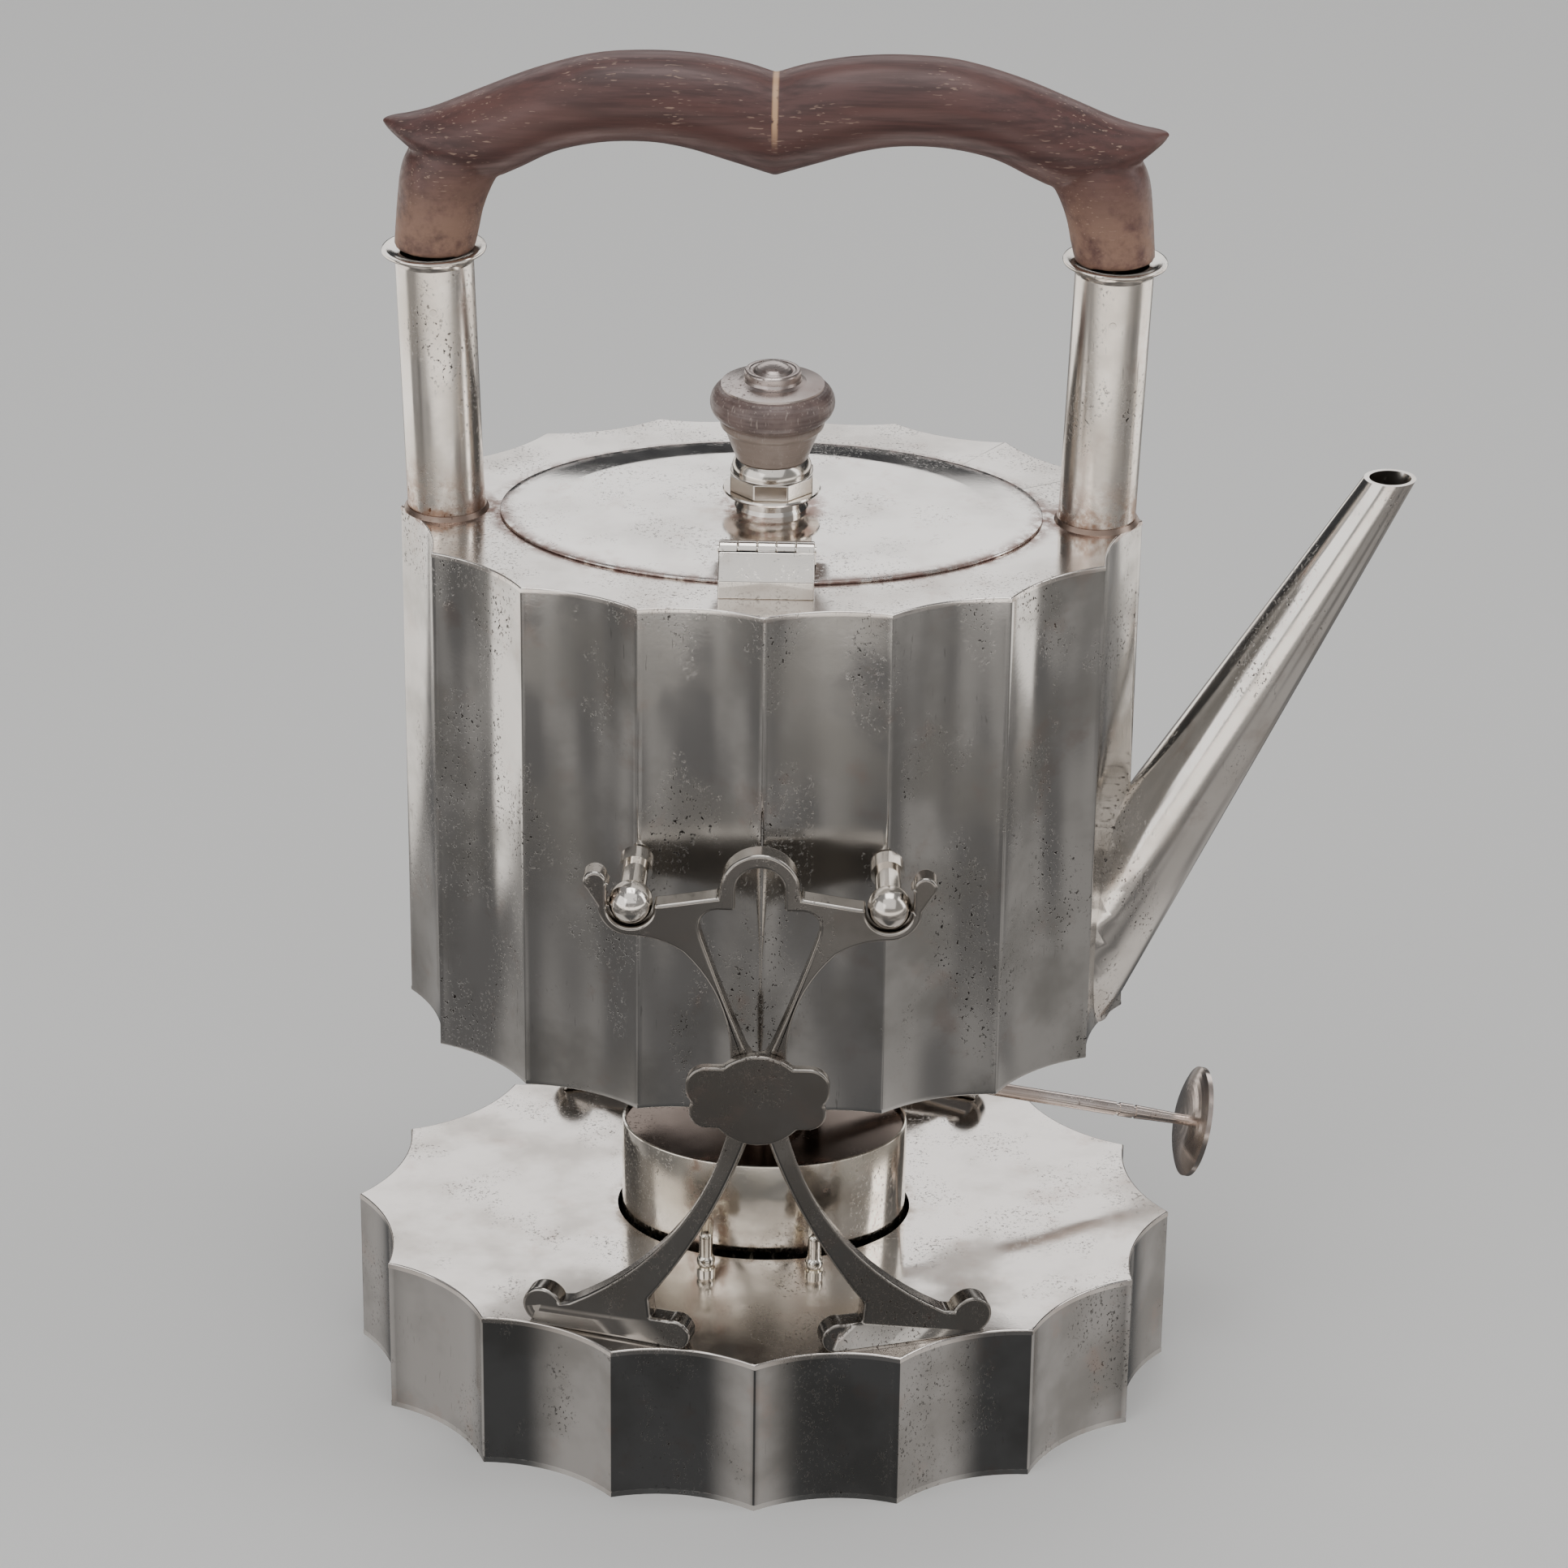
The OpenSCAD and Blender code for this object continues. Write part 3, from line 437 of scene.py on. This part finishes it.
# The spout, raised from sheet: painted bright, partly as painted light, and pitted like the sockets
spout_silver = silver("sterling_spout_raised", "#f1ebe4", "#dcd3ca", "#2b2523", (0.13, 0.24), 1.0,
                      0.010)
# The burner, warmed by its flame: a faint straw tint, brown round the pins' joints, its pale colour
# partly painted light, and darker inside its rim as painted shade
burner_silver = silver("silver_heat_tinted", "#f4eee3", "#dfd6c6", "#4a3f35", (0.10, 0.22), 0.5,
                       0.010, PIN_SEAMS, inside=(BURNER_HALF, "#6d6058"))
# The winder, plated brass with a rosy tarnish, painted lighter as painted light
winder_plate = silver("plated_brass_worn", "#e4d8d0", "#c6b5ab", "#4a3a34", (0.16, 0.30), 0.7,
                      0.004)
# Lead-tin solder, stained by heat
solder = silver("soft_solder_stained", "#a08f84", "#7d6558", "#4a3830", (0.30, 0.45), 0.6,
                0.004)


def polished_wood():
    """Dark palisander, shaped by spokeshave and oiled: reddish brown with fine pale pores,
    rubbed to tan at the legs and along the notch."""
    material, tree, shader, place = new_material("palisander_oiled")
    streak = patches(tree, place, 0.8, 0.36, 0.66, 4.0, 0.6, (0.06, 1, 1))
    broad = patches(tree, place, 6, 0.38, 0.64, 3.0, 0.5, (0.25, 1, 1), (0.3, 0.1, 0.6))
    broad = add(tree, "Math", MASK, {0: broad, 1: 0.55})
    base = add(tree, "Mix", COLOURS, {0: streak, 6: colour("#573834"), 7: colour("#412825")}, 2)
    base = add(tree, "Mix", COLOURS, {0: broad, 6: base, 7: colour("#68463f")}, 2)
    across = add(tree, "Math", SIZE, {0: add(tree, "SeparateXYZ", {}, {0: place}, "X")})
    leg = add(tree, "MapRange", SMOOTH, {0: across, 1: 50 * MM, 2: 66 * MM})
    leg = add(tree, "Math", MASK, {0: leg, 1: height_mask(tree, place, 310, 288)})
    rubbed = add(tree, "Math", MASK, {0: leg, 1: patches(tree, place, 3, 0.25, 0.62, 4.0, 0.7)})
    tan = add(tree, "Math", MASK, {0: rubbed, 1: 0.85})
    base = add(tree, "Mix", COLOURS, {0: tan, 6: base, 7: colour("#9c7a67")}, 2)
    # open pores, pale with old polish, about 0.2 mm wide and 1.5 mm long
    pore = patches(tree, place, 0.22, 0.64, 0.70, 1.5, 0.5, (0.16, 1, 1), (0.1, 0.5, 0.2))
    open_grain = patches(tree, place, 9, 0.44, 0.62, 2.0, shift=(0.2, 0.7, 0.1))
    pore = add(tree, "Math", MASK, {0: pore, 1: open_grain})
    pale = add(tree, "Math", MASK, {0: pore, 1: 0.55})
    base = add(tree, "Mix", COLOURS, {0: pale, 6: base, 7: colour("#b79a86")}, 2)
    # bare wood along the notch on top
    line = add(tree, "MapRange", SMOOTH, {0: across, 1: 0.3 * MM, 2: 0.9 * MM, 3: 1, 4: 0})
    line = add(tree, "Math", MASK, {0: line, 1: height_mask(tree, place, 311, 319)})
    line = add(tree, "Math", MASK, {0: line, 1: patches(tree, place, 1.2, 0.30, 0.45)})
    base = add(tree, "Mix", COLOURS, {0: line, 6: base, 7: colour("#c39b78")}, 2)
    rough = add(tree, "MapRange", {}, {0: streak, 3: 0.40, 4: 0.52})
    rough = add(tree, "Math", SUM, {0: rough, 1: add(tree, "Math", MASK, {0: rubbed, 1: 0.2})})
    grain = add(tree, "Bump", {}, {"Height": streak, "Distance": 0.04 * MM, "Strength": 0.5})
    holes = add(tree, "Bump", PITTED, {"Height": pore, "Distance": 0.06 * MM, "Strength": 0.6,
                                       "Normal": grain})
    tree.links.new(base, shader.inputs["Base Color"])
    tree.links.new(rough, shader.inputs["Roughness"])
    tree.links.new(holes, shader.inputs["Normal"])
    shader.inputs["Coat Weight"].default_value = 0.08
    shader.inputs["Coat Roughness"].default_value = 0.3
    return material


def turned_wood():
    """Turned hardwood, greyed and dry: lathe rings round it and short upright cracks, paler
    below its bead."""
    material, tree, shader, place = new_material("turned_hardwood_dry")
    cloud = patches(tree, place, 3, 0.36, 0.64, 4.0, 0.6)
    base = add(tree, "Mix", COLOURS, {0: cloud, 6: colour("#76645f"), 7: colour("#574744")}, 2)
    # lathe rings about 0.4 mm apart
    rings = patches(tree, place, 0.25, 0.40, 0.60, 1.0, 0.4, (0.02, 0.02, 1))
    faint = add(tree, "Math", MASK, {0: rings, 1: 0.25})
    base = add(tree, "Mix", COLOURS, {0: faint, 6: base, 7: colour("#8b7b75")}, 2)
    # short upright checks, 0.2 mm wide and 2 mm long
    check = patches(tree, place, 0.25, 0.60, 0.68, 2.0, 0.5, (1, 1, 0.14), (0.2, 0.4, 0.1))
    pale = add(tree, "Math", MASK, {0: check, 1: 0.5})
    base = add(tree, "Mix", COLOURS, {0: pale, 6: base, 7: colour("#b4a59c")}, 2)
    low = add(tree, "Math", MASK, {0: height_mask(tree, place, 246.5, 244), 1: 0.6})
    base = add(tree, "Mix", COLOURS, {0: low, 6: base, 7: colour("#a39386")}, 2)
    rough = add(tree, "MapRange", {}, {0: cloud, 3: 0.30, 4: 0.44})
    lathe = add(tree, "Bump", {}, {"Height": rings, "Distance": 0.05 * MM, "Strength": 0.5})
    crack = add(tree, "Bump", PITTED, {"Height": check, "Distance": 0.05 * MM, "Strength": 0.5,
                                       "Normal": lathe})
    tree.links.new(base, shader.inputs["Base Color"])
    tree.links.new(rough, shader.inputs["Roughness"])
    tree.links.new(crack, shader.inputs["Normal"])
    return material


def braided_cotton():
    """Round braided cotton wick: threads about 0.8 mm wide, charred at its top."""
    material, tree, shader, place = new_material("cotton_braid_charred")
    thread = add(tree, "TexWave", {"bands_direction": "DIAGONAL"},
                 {"Vector": place, "Scale": 1 / (5 * MM), "Distortion": 1.0, "Detail": 2.0}, "Fac")
    soot = add(tree, "Math", MASK, {0: height_mask(tree, place, 78, 84),
                                    1: patches(tree, place, 1.0, 0.2, 0.5)})
    base = add(tree, "Mix", COLOURS, {0: thread, 6: colour("#cfc4a8"), 7: colour("#a89a7c")}, 2)
    base = add(tree, "Mix", COLOURS, {0: soot, 6: base, 7: colour("#1b1715")}, 2)
    ridge = add(tree, "Bump", {}, {"Height": thread, "Distance": 0.3 * MM, "Strength": 0.8})
    tree.links.new(base, shader.inputs["Base Color"])
    tree.links.new(ridge, shader.inputs["Normal"])
    shader.inputs["Roughness"].default_value = 0.95
    return material


palisander = polished_wood()
hardwood = turned_wood()
cotton = braided_cotton()


# ---- the stand's base and the kettle's body --------------------------------------------

def fluted_wall(name, half, hollow, sheet, low, high):
    """Upright fluted wall: a fluted ring drawn up, then thickened inwards, its arrises eased."""
    rings = [fluted(half, hollow, low), fluted(half, hollow, high),
             fluted(half, hollow, high, sheet), fluted(half, hollow, low, sheet)]
    piece = loft(name, rings + [rings[0]], shut=False)
    corners = cusps(half)

    def upright_arris(a, b):
        if abs(a.z - b.z) < 1:
            return False
        return min(math.dist((a.x, a.y), c) for c in corners) < 0.05

    bevel_where(piece, upright_arris, ARRIS, 2)
    return piece


def on_oval(point, half):
    """Whether a point lies on this upright oval."""
    return abs((point.x / half[0]) ** 2 + (point.y / half[1]) ** 2 - 1) < 0.01


def fluted_plate(name, half, hollow, low, high, opening=None, lip=ARRIS):
    """Level plate with the fluted outline and perhaps an oval opening. Its outer edge at the
    high level, the lower side where high is below low, is rounded by the lip."""
    count = FLUTES * FLUTE_STEPS
    outer = [fluted(half, hollow, low), fluted(half, hollow, high)]
    if opening:
        inner = [oval(opening, high, count), oval(opening, low, count)]
        piece = loft(name, outer + inner + [outer[0]], shut=False)
    else:
        piece = loft(name, outer)
    inside = min(half) * 0.8

    def outer_edge(a, b):
        level = abs(a.z - high) < 1e-3 and abs(b.z - high) < 1e-3
        outside = a.xy.length > inside and b.xy.length > inside
        return level and outside and not (opening and on_oval(a, opening))

    bevel_where(piece, outer_edge, lip, 3)
    return piece


def drilled(plate, places, radius, level):
    """Bores a round hole through a plate at each of these places."""
    for x, y in places:
        start_clean()
        bpy.ops.mesh.primitive_cylinder_add(vertices=40, radius=radius * MM,
                                            depth=DRILL_LENGTH * MM,
                                            location=Vector((x, y, level)) * MM)
        drill = bpy.context.object
        apply_modifier(plate, "BOOLEAN", object=drill, operation="DIFFERENCE", solver="EXACT")
        bpy.data.objects.remove(drill)
    return plate


base_side_sheet = fluted_wall("base_side_sheet", BASE_HALF, BASE_HOLLOW, BASE_SHEET,
                              BASE_SHEET, BASE_HEIGHT - BASE_SHEET)
kettle_side_sheet = fluted_wall("kettle_side_sheet", KETTLE_HALF, KETTLE_HOLLOW, KETTLE_SHEET,
                                KETTLE_Z + KETTLE_SHEET, KETTLE_TOP - KETTLE_SHEET)
base_top_sheet = drilled(fluted_plate("base_top_sheet", BASE_HALF, BASE_HOLLOW,
                                      BASE_HEIGHT - BASE_SHEET, BASE_HEIGHT, BURNER_HOLE, 0.45),
                         [(x * PIN_PLACE[0], y * PIN_PLACE[1]) for x in (-1, 1) for y in (-1, 1)],
                         PIN_HOLE, BASE_HEIGHT)
kettle_top_sheet = fluted_plate("kettle_top_sheet", KETTLE_HALF, KETTLE_HOLLOW,
                                KETTLE_TOP - KETTLE_SHEET, KETTLE_TOP, OPENING_HALF)
kettle_bottom_sheet = fluted_plate("kettle_bottom_sheet", KETTLE_HALF, KETTLE_HOLLOW,
                                   KETTLE_Z + KETTLE_SHEET, KETTLE_Z)
finish_piece(base_side_sheet, side_silver, "stand", "polished_silver", "base_wall")
finish_piece(kettle_side_sheet, wall_silver, "kettle", "polished_silver", "kettle_wall")
finish_piece(base_top_sheet, base_silver, "stand", "polished_silver", "base_top", flat=True)
finish_piece(kettle_top_sheet, top_silver, "kettle", "polished_silver", "kettle_top", flat=True)
finish_piece(kettle_bottom_sheet, wall_silver, "kettle", "polished_silver", "kettle_bottom",
             flat=True)


# ---- the lid ---------------------------------------------------------------------------

# the rolled edge of the lid, from its underside up: (height, distance in from the outline)
LID_EDGE = ((0, 0.25), (0.12, 0.08), (0.35, 0), (0.6, 0.08), (0.72, 0.3))
# the lid rises over the outer 22 % of its radius, in this many rings, and is level inside it
LID_SLOPE = 0.22
LID_SLOPE_RINGS = 8
LID_LEVEL_RINGS = 26


def domed_lid():
    """Thin oval plate, rolled at its edge and raised a little towards the knob."""
    rings = [oval(OPENING_HALF, KETTLE_TOP, LID_SIDES)]
    rings += [oval(LID_HALF, KETTLE_TOP + height, LID_SIDES, -inset) for height, inset in LID_EDGE]
    shares = [1 - LID_SLOPE * i / LID_SLOPE_RINGS for i in range(1, LID_SLOPE_RINGS + 1)]
    shares += [(1 - LID_SLOPE) * (1 - i / LID_LEVEL_RINGS) for i in range(1, LID_LEVEL_RINGS)]
    edge_height = LID_EDGE[-1][0]
    for share in shares:
        rise = edge_height + (LID_SHEET - edge_height) * min(1, (1 - share) / LID_SLOPE)
        rings.append(oval((LID_HALF[0] * share, LID_HALF[1] * share), KETTLE_TOP + rise, LID_SIDES))
    return loft("lid_dome", rings)


def lid_flange():
    """Oval band under the lid that stands in the kettle's opening."""
    top, foot = KETTLE_TOP, KETTLE_TOP - FLANGE_DEPTH
    inner = FLANGE_GAP + FLANGE_WALL
    corners = ((top, FLANGE_GAP), (foot, FLANGE_GAP), (foot, inner), (top, inner), (top, FLANGE_GAP))
    return loft("lid_rim_flange", [oval(OPENING_HALF, z, grow=-inset) for z, inset in corners],
                shut=False)


finish_piece(domed_lid(), lid_silver, "lid", "polished_silver", "lid_plate")
finish_piece(lid_flange(), lid_silver, "lid", "polished_silver", "lid_flange")


# ---- the burner ------------------------------------------------------------------------

def burner_cup():
    """Oval cup, its foot and its rim rounded, open at the top."""
    low, rim, wall = BURNER_LOW, BURNER_RIM, BURNER_WALL
    profile = ((low, 1.2), (low + 0.35, 0.35), (low + 1.2, 0), (rim - 0.45, 0), (rim - 0.13, 0.13),
               (rim, 0.45), (rim - 0.13, 0.77), (rim - 0.45, wall), (low + wall, wall))
    return loft("burner_cup", [oval(BURNER_HALF, z, grow=-inset) for z, inset in profile])


finish_piece(burner_cup(), burner_silver, "burner", "burner_silver", "burner_can")


# ---- the handle's grip -----------------------------------------------------------------

# keys of the grip's sections, as (low point x and z, high point x and z, depth front to back)
GRIP_ARCH = ((0, 303.4, 0, 326.2, 21.0), (10.5, 306.7, 7, 328.4, 21.0),
             (19.5, 309.4, 17, 330.2, 21.0), (28, 310.7, 28, 330.7, 21.0),
             (38, 310.4, 40, 329.8, 21.0), (48, 308.2, 53, 326.2, 20.8),
             (56.5, 304.0, 65, 321.4, 20.2), (62, 302.0, 75, 317.2, 19.0),
             (70, 303.5, 81.0, 315.5, 15.5), (77.5, 306.2, 84.2, 315.1, 10.5),
             (82.6, 309.8, 86.2, 314.6, 5.0), (85.6, 312.4, 87.0, 314.2, 1.6))
GRIP_LEG = ((54, 314.5, 66, 318, 15.5), (58.5, 306, 74, 315.5, 17), (62.0, 300.5, 80.0, 309, 18.0),
            (64.4, 294.5, 82.6, 304.0, 18.2), (65.6, 289, 83.7, 296, 18.2),
            (66.6, 284.6, 84.6, 285.1, 18.2))


def between(a, b, c, d, t):
    """Smooth curve from b to c, with a and d on either side."""
    return 0.5 * (2 * b + (c - a) * t + (2 * a - 5 * b + 4 * c - d) * t * t
                  + (3 * b - a - 3 * c + d) * t ** 3)


def grip_sections(keys, whole):
    """Oval sections through the keys, up to the last key itself where whole."""
    rings = []
    last = len(keys) - 1
    for i in range(last):
        around = [keys[max(i - 1, 0)], keys[i], keys[i + 1], keys[min(i + 2, last)]]
        for step in range(GRIP_STEPS + (whole and i == last - 1)):
            low_x, low_z, high_x, high_z, depth = (between(*column, step / GRIP_STEPS)
                                                   for column in zip(*around))
            middle = Vector((low_x + high_x, 0, low_z + high_z)) / 2
            across = Vector((high_x - low_x, 0, high_z - low_z)) / 2
            rings.append([middle + across * math.cos(2 * math.pi * k / GRIP_SIDES)
                          + Vector((0, depth / 2 * math.sin(2 * math.pi * k / GRIP_SIDES), 0))
                          for k in range(GRIP_SIDES)])
    return rings


def carved_grip():
    """The whole grip: arch and leg of each side joined and worked smooth."""
    arch = loft("grip_arch", grip_sections(GRIP_ARCH, whole=False))
    leg = loft("grip_leg", grip_sections(GRIP_LEG, whole=True))
    apply_modifier(arch, "BOOLEAN", object=leg, operation="UNION", solver="EXACT")
    bpy.data.objects.remove(leg)
    other = mirrored(arch, "grip_other_half", 0)
    apply_modifier(arch, "BOOLEAN", object=other, operation="UNION", solver="EXACT")
    bpy.data.objects.remove(other)
    apply_modifier(arch, "REMESH", mode="VOXEL", voxel_size=0.65 * MM, adaptivity=0.0)
    apply_modifier(arch, "SMOOTH", factor=0.5, iterations=7)
    arch.name = arch.data.name = "carved_grip"
    return arch


finish_piece(carved_grip(), palisander, "kettle", "dark_wood", "handle_grip", angle=60)


# ---- the handle's sockets --------------------------------------------------------------

# profile of the lip, as (radius, depth below the socket's top)
LIP_PROFILE = ((7.75, 1.4), (8.85, 3.2), (8.95, 2.4), (9.3, 1.7), (10.1, 1.25), (11.2, 1.05),
               (11.6, 0.9), (11.75, 0.5), (11.6, 0.12), (11.2, 0), (10.6, 0.08), (9.6, 0.45),
               (8.6, 0.75), (7.75, 0.85))


def socket_lip(side, name):
    """Flared rim turned out from the socket's mouth, rounded at its edge, hollow on top."""
    rings = [round_ring(radius, SOCKET_HEIGHT - depth) for radius, depth in LIP_PROFILE]
    piece = loft(name, rings + [rings[0]], shut=False)
    on_socket(piece, side)
    return piece


for side, word in ((-1, "left"), (1, "right")):
    finish_piece(socket_lip(side, word + "_socket_lip"), fitting_silver, "kettle",
                 "polished_silver", word + "_socket_rim", angle=50)


# ---- the nodes that keep their own shape -----------------------------------------------

# faces this close to one plane are made one, and edges sharper than this are rounded
SAME_PLANE = math.radians(0.6)
SHARP_EDGE = math.radians(34)


def eased(node_name, material, width, segments, body, slot):
    """A copy of a node, which stands for it, with its flats made whole and its arrises rounded
    by this width in millimetres."""
    source = nodes[node_name]
    piece = bpy.data.objects.new(node_name + "_eased", source.data.copy())
    bpy.context.collection.objects.link(piece)
    take(piece)
    bpy.ops.object.mode_set(mode="EDIT")
    bpy.ops.mesh.select_all(action="SELECT")
    bpy.ops.mesh.remove_doubles(threshold=2e-6)
    # a seam down the middle keeps a window in a plate from making a face with a hole
    bpy.ops.mesh.bisect(plane_co=(0, 0, 0), plane_no=(1, 0, 0))
    bpy.ops.mesh.mark_seam()
    bpy.ops.mesh.select_all(action="SELECT")
    bpy.ops.mesh.dissolve_limited(angle_limit=SAME_PLANE, delimit={"SEAM"})
    bpy.ops.mesh.customdata_custom_splitnormals_clear()
    bpy.ops.object.mode_set(mode="OBJECT")
    apply_modifier(piece, "BEVEL", width=width * MM, segments=segments, limit_method="ANGLE",
                   angle_limit=SHARP_EDGE, use_clamp_overlap=False)
    return finish_piece(piece, material, body, slot, node_name, angle=38, flat=True)


def finish(node_name, material):
    """Gives a node that keeps its own mesh its material."""
    node = nodes[node_name]
    for socket in node.material_slots:
        socket.material = material
    if not node.material_slots:
        node.data.materials.append(material)


for name in ("front_bracket", "back_bracket", "front_left_leg", "front_right_leg",
             "back_left_leg", "back_right_leg"):
    eased(name, cast_silver, 0.75, 4, "stand", "cast_silver")
for name in ("front_lobed_plate", "back_lobed_plate"):
    eased(name, cast_silver, 0.7, 4, "stand", "polished_silver")
eased("hinge_block", fitting_silver, 0.3, 3, "kettle", "cast_silver")
eased("lid_hinge_leaf", fitting_silver, 0.25, 2, "lid", "cast_silver")
eased("knob_cup", fitting_silver, 0.3, 3, "lid", "cast_silver")
eased("winder_bearing", burner_silver, 0.4, 3, "burner", "burner_silver")

for material, names in (
        (wall_silver, ("base_floor",)),
        (spout_silver, ("spout",)),
        (socket_silver, ("left_socket", "right_socket")),
        (solder, ("left_socket_seam", "right_socket_seam")),
        (fitting_silver, ("pivot_balls", "rest_balls", "left_pegs", "right_pegs", "handle_pins",
                          "hinge_pin", "knob_foot", "knob_stud")),
        (cap_silver, ("knob_cap", "knob_nut")),
        (hardwood, ("knob_wood",)),
        (burner_silver, ("burner_top", "burner_pins", "wick_tube")),
        (winder_plate, ("winder_wheel", "winder_shaft", "winder_disc")),
        (cotton, ("wick",))):
    for name in names:
        finish(name, material)


# ---- floor, light and camera -----------------------------------------------------------

def studio_floor():
    """Plain pale floor, which the silver doesn't mirror."""
    start_clean()
    bpy.ops.mesh.primitive_plane_add(size=9)
    floor = bpy.context.object
    floor.name = "studio_floor"
    material, _, shader, _ = new_material("matt_pale_card")
    shader.inputs["Base Color"].default_value = colour("#d9d8d6")
    shader.inputs["Roughness"].default_value = 0.8
    floor.data.materials.append(material)
    floor.visible_glossy = False


def softbox(name, place, aim, size, power):
    """A soft light of this width and height in metres, at a place, turned to its aim."""
    light = bpy.data.lights.new(name, "AREA")
    light.shape = "RECTANGLE"
    light.size, light.size_y = size
    light.energy = power
    holder = bpy.data.objects.new(name, light)
    holder.location = place
    holder.rotation_euler = (Vector(aim) - Vector(place)).to_track_quat("-Z", "Y").to_euler()
    bpy.context.collection.objects.link(holder)


studio_floor()
# name, place, aim, width and height in metres, power in watts
for box in (("left_softbox", (-1.15, -1.0, 0.65), (0, 0, 0.2), (1.5, 1.2), 7),
            ("right_softbox", (1.35, -0.1, 0.8), (0, 0, 0.15), (0.5, 1.3), 5),
            ("back_softbox", (0.0, 1.8, 1.34), (0, 0, 0.2), (2.8, 1.1), 14),
            ("front_softbox", (0.0, -1.5, 1.6), (0, 0, 0.15), (2.6, 2.0), 13),
            ("top_softbox", (0.0, -0.1, 2.0), (0, 0, 0), (1.2, 1.0), 15)):
    softbox(*box)


def studio_surroundings():
    """What polished silver mirrors from afar: dim walls above, and a dark table that is lighter
    to both sides."""
    world = bpy.data.worlds.new("dim_studio")
    world.use_nodes = True
    tree = world.node_tree
    tree.nodes.clear()
    way = add(tree, "TexCoord", {}, {}, "Generated")
    up = add(tree, "SeparateXYZ", {}, {0: way}, "Z")
    level = add(tree, "VectorMath", {"operation": "MULTIPLY"}, {0: way, 1: (1, 1, 0)})
    level = add(tree, "VectorMath", {"operation": "NORMALIZE"}, {0: level})
    side = add(tree, "Math", SIZE, {0: add(tree, "SeparateXYZ", {}, {0: level}, "X")})
    side = add(tree, "MapRange", SMOOTH, {0: side, 1: 0.5, 2: 0.9})
    below = add(tree, "Mix", COLOURS, {0: side, 6: colour("#5a5b5c"), 7: colour("#cfccc9")}, 2)
    high = add(tree, "MapRange", SMOOTH, {0: up, 1: 0.25, 2: 0.75})
    behind = add(tree, "SeparateXYZ", {}, {0: way}, "Y")
    behind = add(tree, "MapRange", SMOOTH, {0: behind, 1: -0.1, 2: 0.3})
    low = add(tree, "Mix", COLOURS, {0: behind, 6: colour("#979797"), 7: colour("#3c3d3f")}, 2)
    above = add(tree, "Mix", COLOURS, {0: high, 6: low, 7: colour("#8f9092")}, 2)
    horizon = add(tree, "MapRange", SMOOTH, {0: up, 1: -0.02, 2: 0.04})
    seen = add(tree, "Mix", COLOURS, {0: horizon, 6: below, 7: above}, 2)
    add(tree, "OutputWorld", {},
        {"Surface": add(tree, "Background", {}, {"Color": seen, "Strength": 1.0})})
    bpy.context.scene.world = world


def reflector_card():
    """A sheet on the table, seen by the silver alone: clear within 0.20 m of the object, cloudy
    grey from 0.24 m out, and white from 0.55 m in front, from 0.34 m to the left at the back and
    from 0.46 m to the right at the back."""
    start_clean()
    # a little under the floor, so that the two don't share a plane
    bpy.ops.mesh.primitive_plane_add(size=12, location=(0, 0, -0.004))
    card = bpy.context.object
    card.name = "reflector_card"
    material, tree, shader, place = new_material("white_and_grey_card")
    x, y = (add(tree, "SeparateXYZ", {}, {0: place}, axis) for axis in "XY")
    flat = add(tree, "VectorMath", {"operation": "MULTIPLY"}, {0: place, 1: (1, 1, 0)})
    far = add(tree, "VectorMath", {"operation": "LENGTH"}, {0: flat}, "Value")
    # soft uneven light on the grey part, about 100 mm across
    cloud = patches(tree, place, 100, 0.40, 0.60, 1.0)
    grey = add(tree, "Mix", COLOURS, {0: cloud, 6: colour("#6e6d6d"), 7: colour("#a09e9c")}, 2)
    white = add(tree, "MapRange", SMOOTH, {0: y, 1: -0.545, 2: -0.56})
    left = add(tree, "Math", MASK, {0: add(tree, "MapRange", SMOOTH, {0: x, 1: -0.32, 2: -0.36}),
                                    1: add(tree, "MapRange", SMOOTH, {0: y, 1: -0.03, 2: 0.0})})
    right = add(tree, "Math", MASK, {0: add(tree, "MapRange", SMOOTH, {0: x, 1: 0.44, 2: 0.48}),
                                     1: add(tree, "MapRange", SMOOTH, {0: y, 1: 0.0, 2: 0.03})})
    white = add(tree, "Math", LARGER, {0: add(tree, "Math", LARGER, {0: white, 1: left}), 1: right})
    shade = add(tree, "Mix", COLOURS, {0: white, 6: grey, 7: colour("#e6e2dd")}, 2)
    # the white part is twice as bright
    strength = add(tree, "MapRange", {}, {0: white, 3: 1.0, 4: 2.0})
    glow = add(tree, "Emission", {}, {"Color": shade, "Strength": strength})
    near = add(tree, "MapRange", SMOOTH, {0: far, 1: 0.20, 2: 0.24})
    mixed = add(tree, "MixShader", {}, {0: near, 1: add(tree, "BsdfTransparent", {}, {}), 2: glow})
    tree.links.new(mixed, shader.outputs[0].links[0].to_socket)
    tree.nodes.remove(shader)
    card.data.materials.append(material)
    card.visible_camera = card.visible_diffuse = card.visible_shadow = False
    card.visible_transmission = card.visible_volume_scatter = False


studio_surroundings()
reflector_card()


def studio_camera(place, turn, tilt, roll, length):
    """A long lens on the front, its length in millimetres on 36 mm film: turned about the
    vertical, tilted up from straight down, and rolled, in degrees."""
    lens = bpy.data.cameras.new("studio_camera")
    lens.sensor_width = 36
    lens.lens = length
    lens.clip_end = 20
    camera = bpy.data.objects.new("studio_camera", lens)
    camera.matrix_world = (Matrix.Translation(place)
                           @ Matrix.Rotation(math.radians(turn), 4, "Z")
                           @ Matrix.Rotation(math.radians(tilt), 4, "X")
                           @ Matrix.Rotation(math.radians(roll), 4, "Z"))
    bpy.context.collection.objects.link(camera)
    bpy.context.scene.camera = camera


studio_camera((0.0243, -1.1259, 0.7084), turn=1.05, tilt=63.75, roll=0.73, length=123.71)

start_clean()
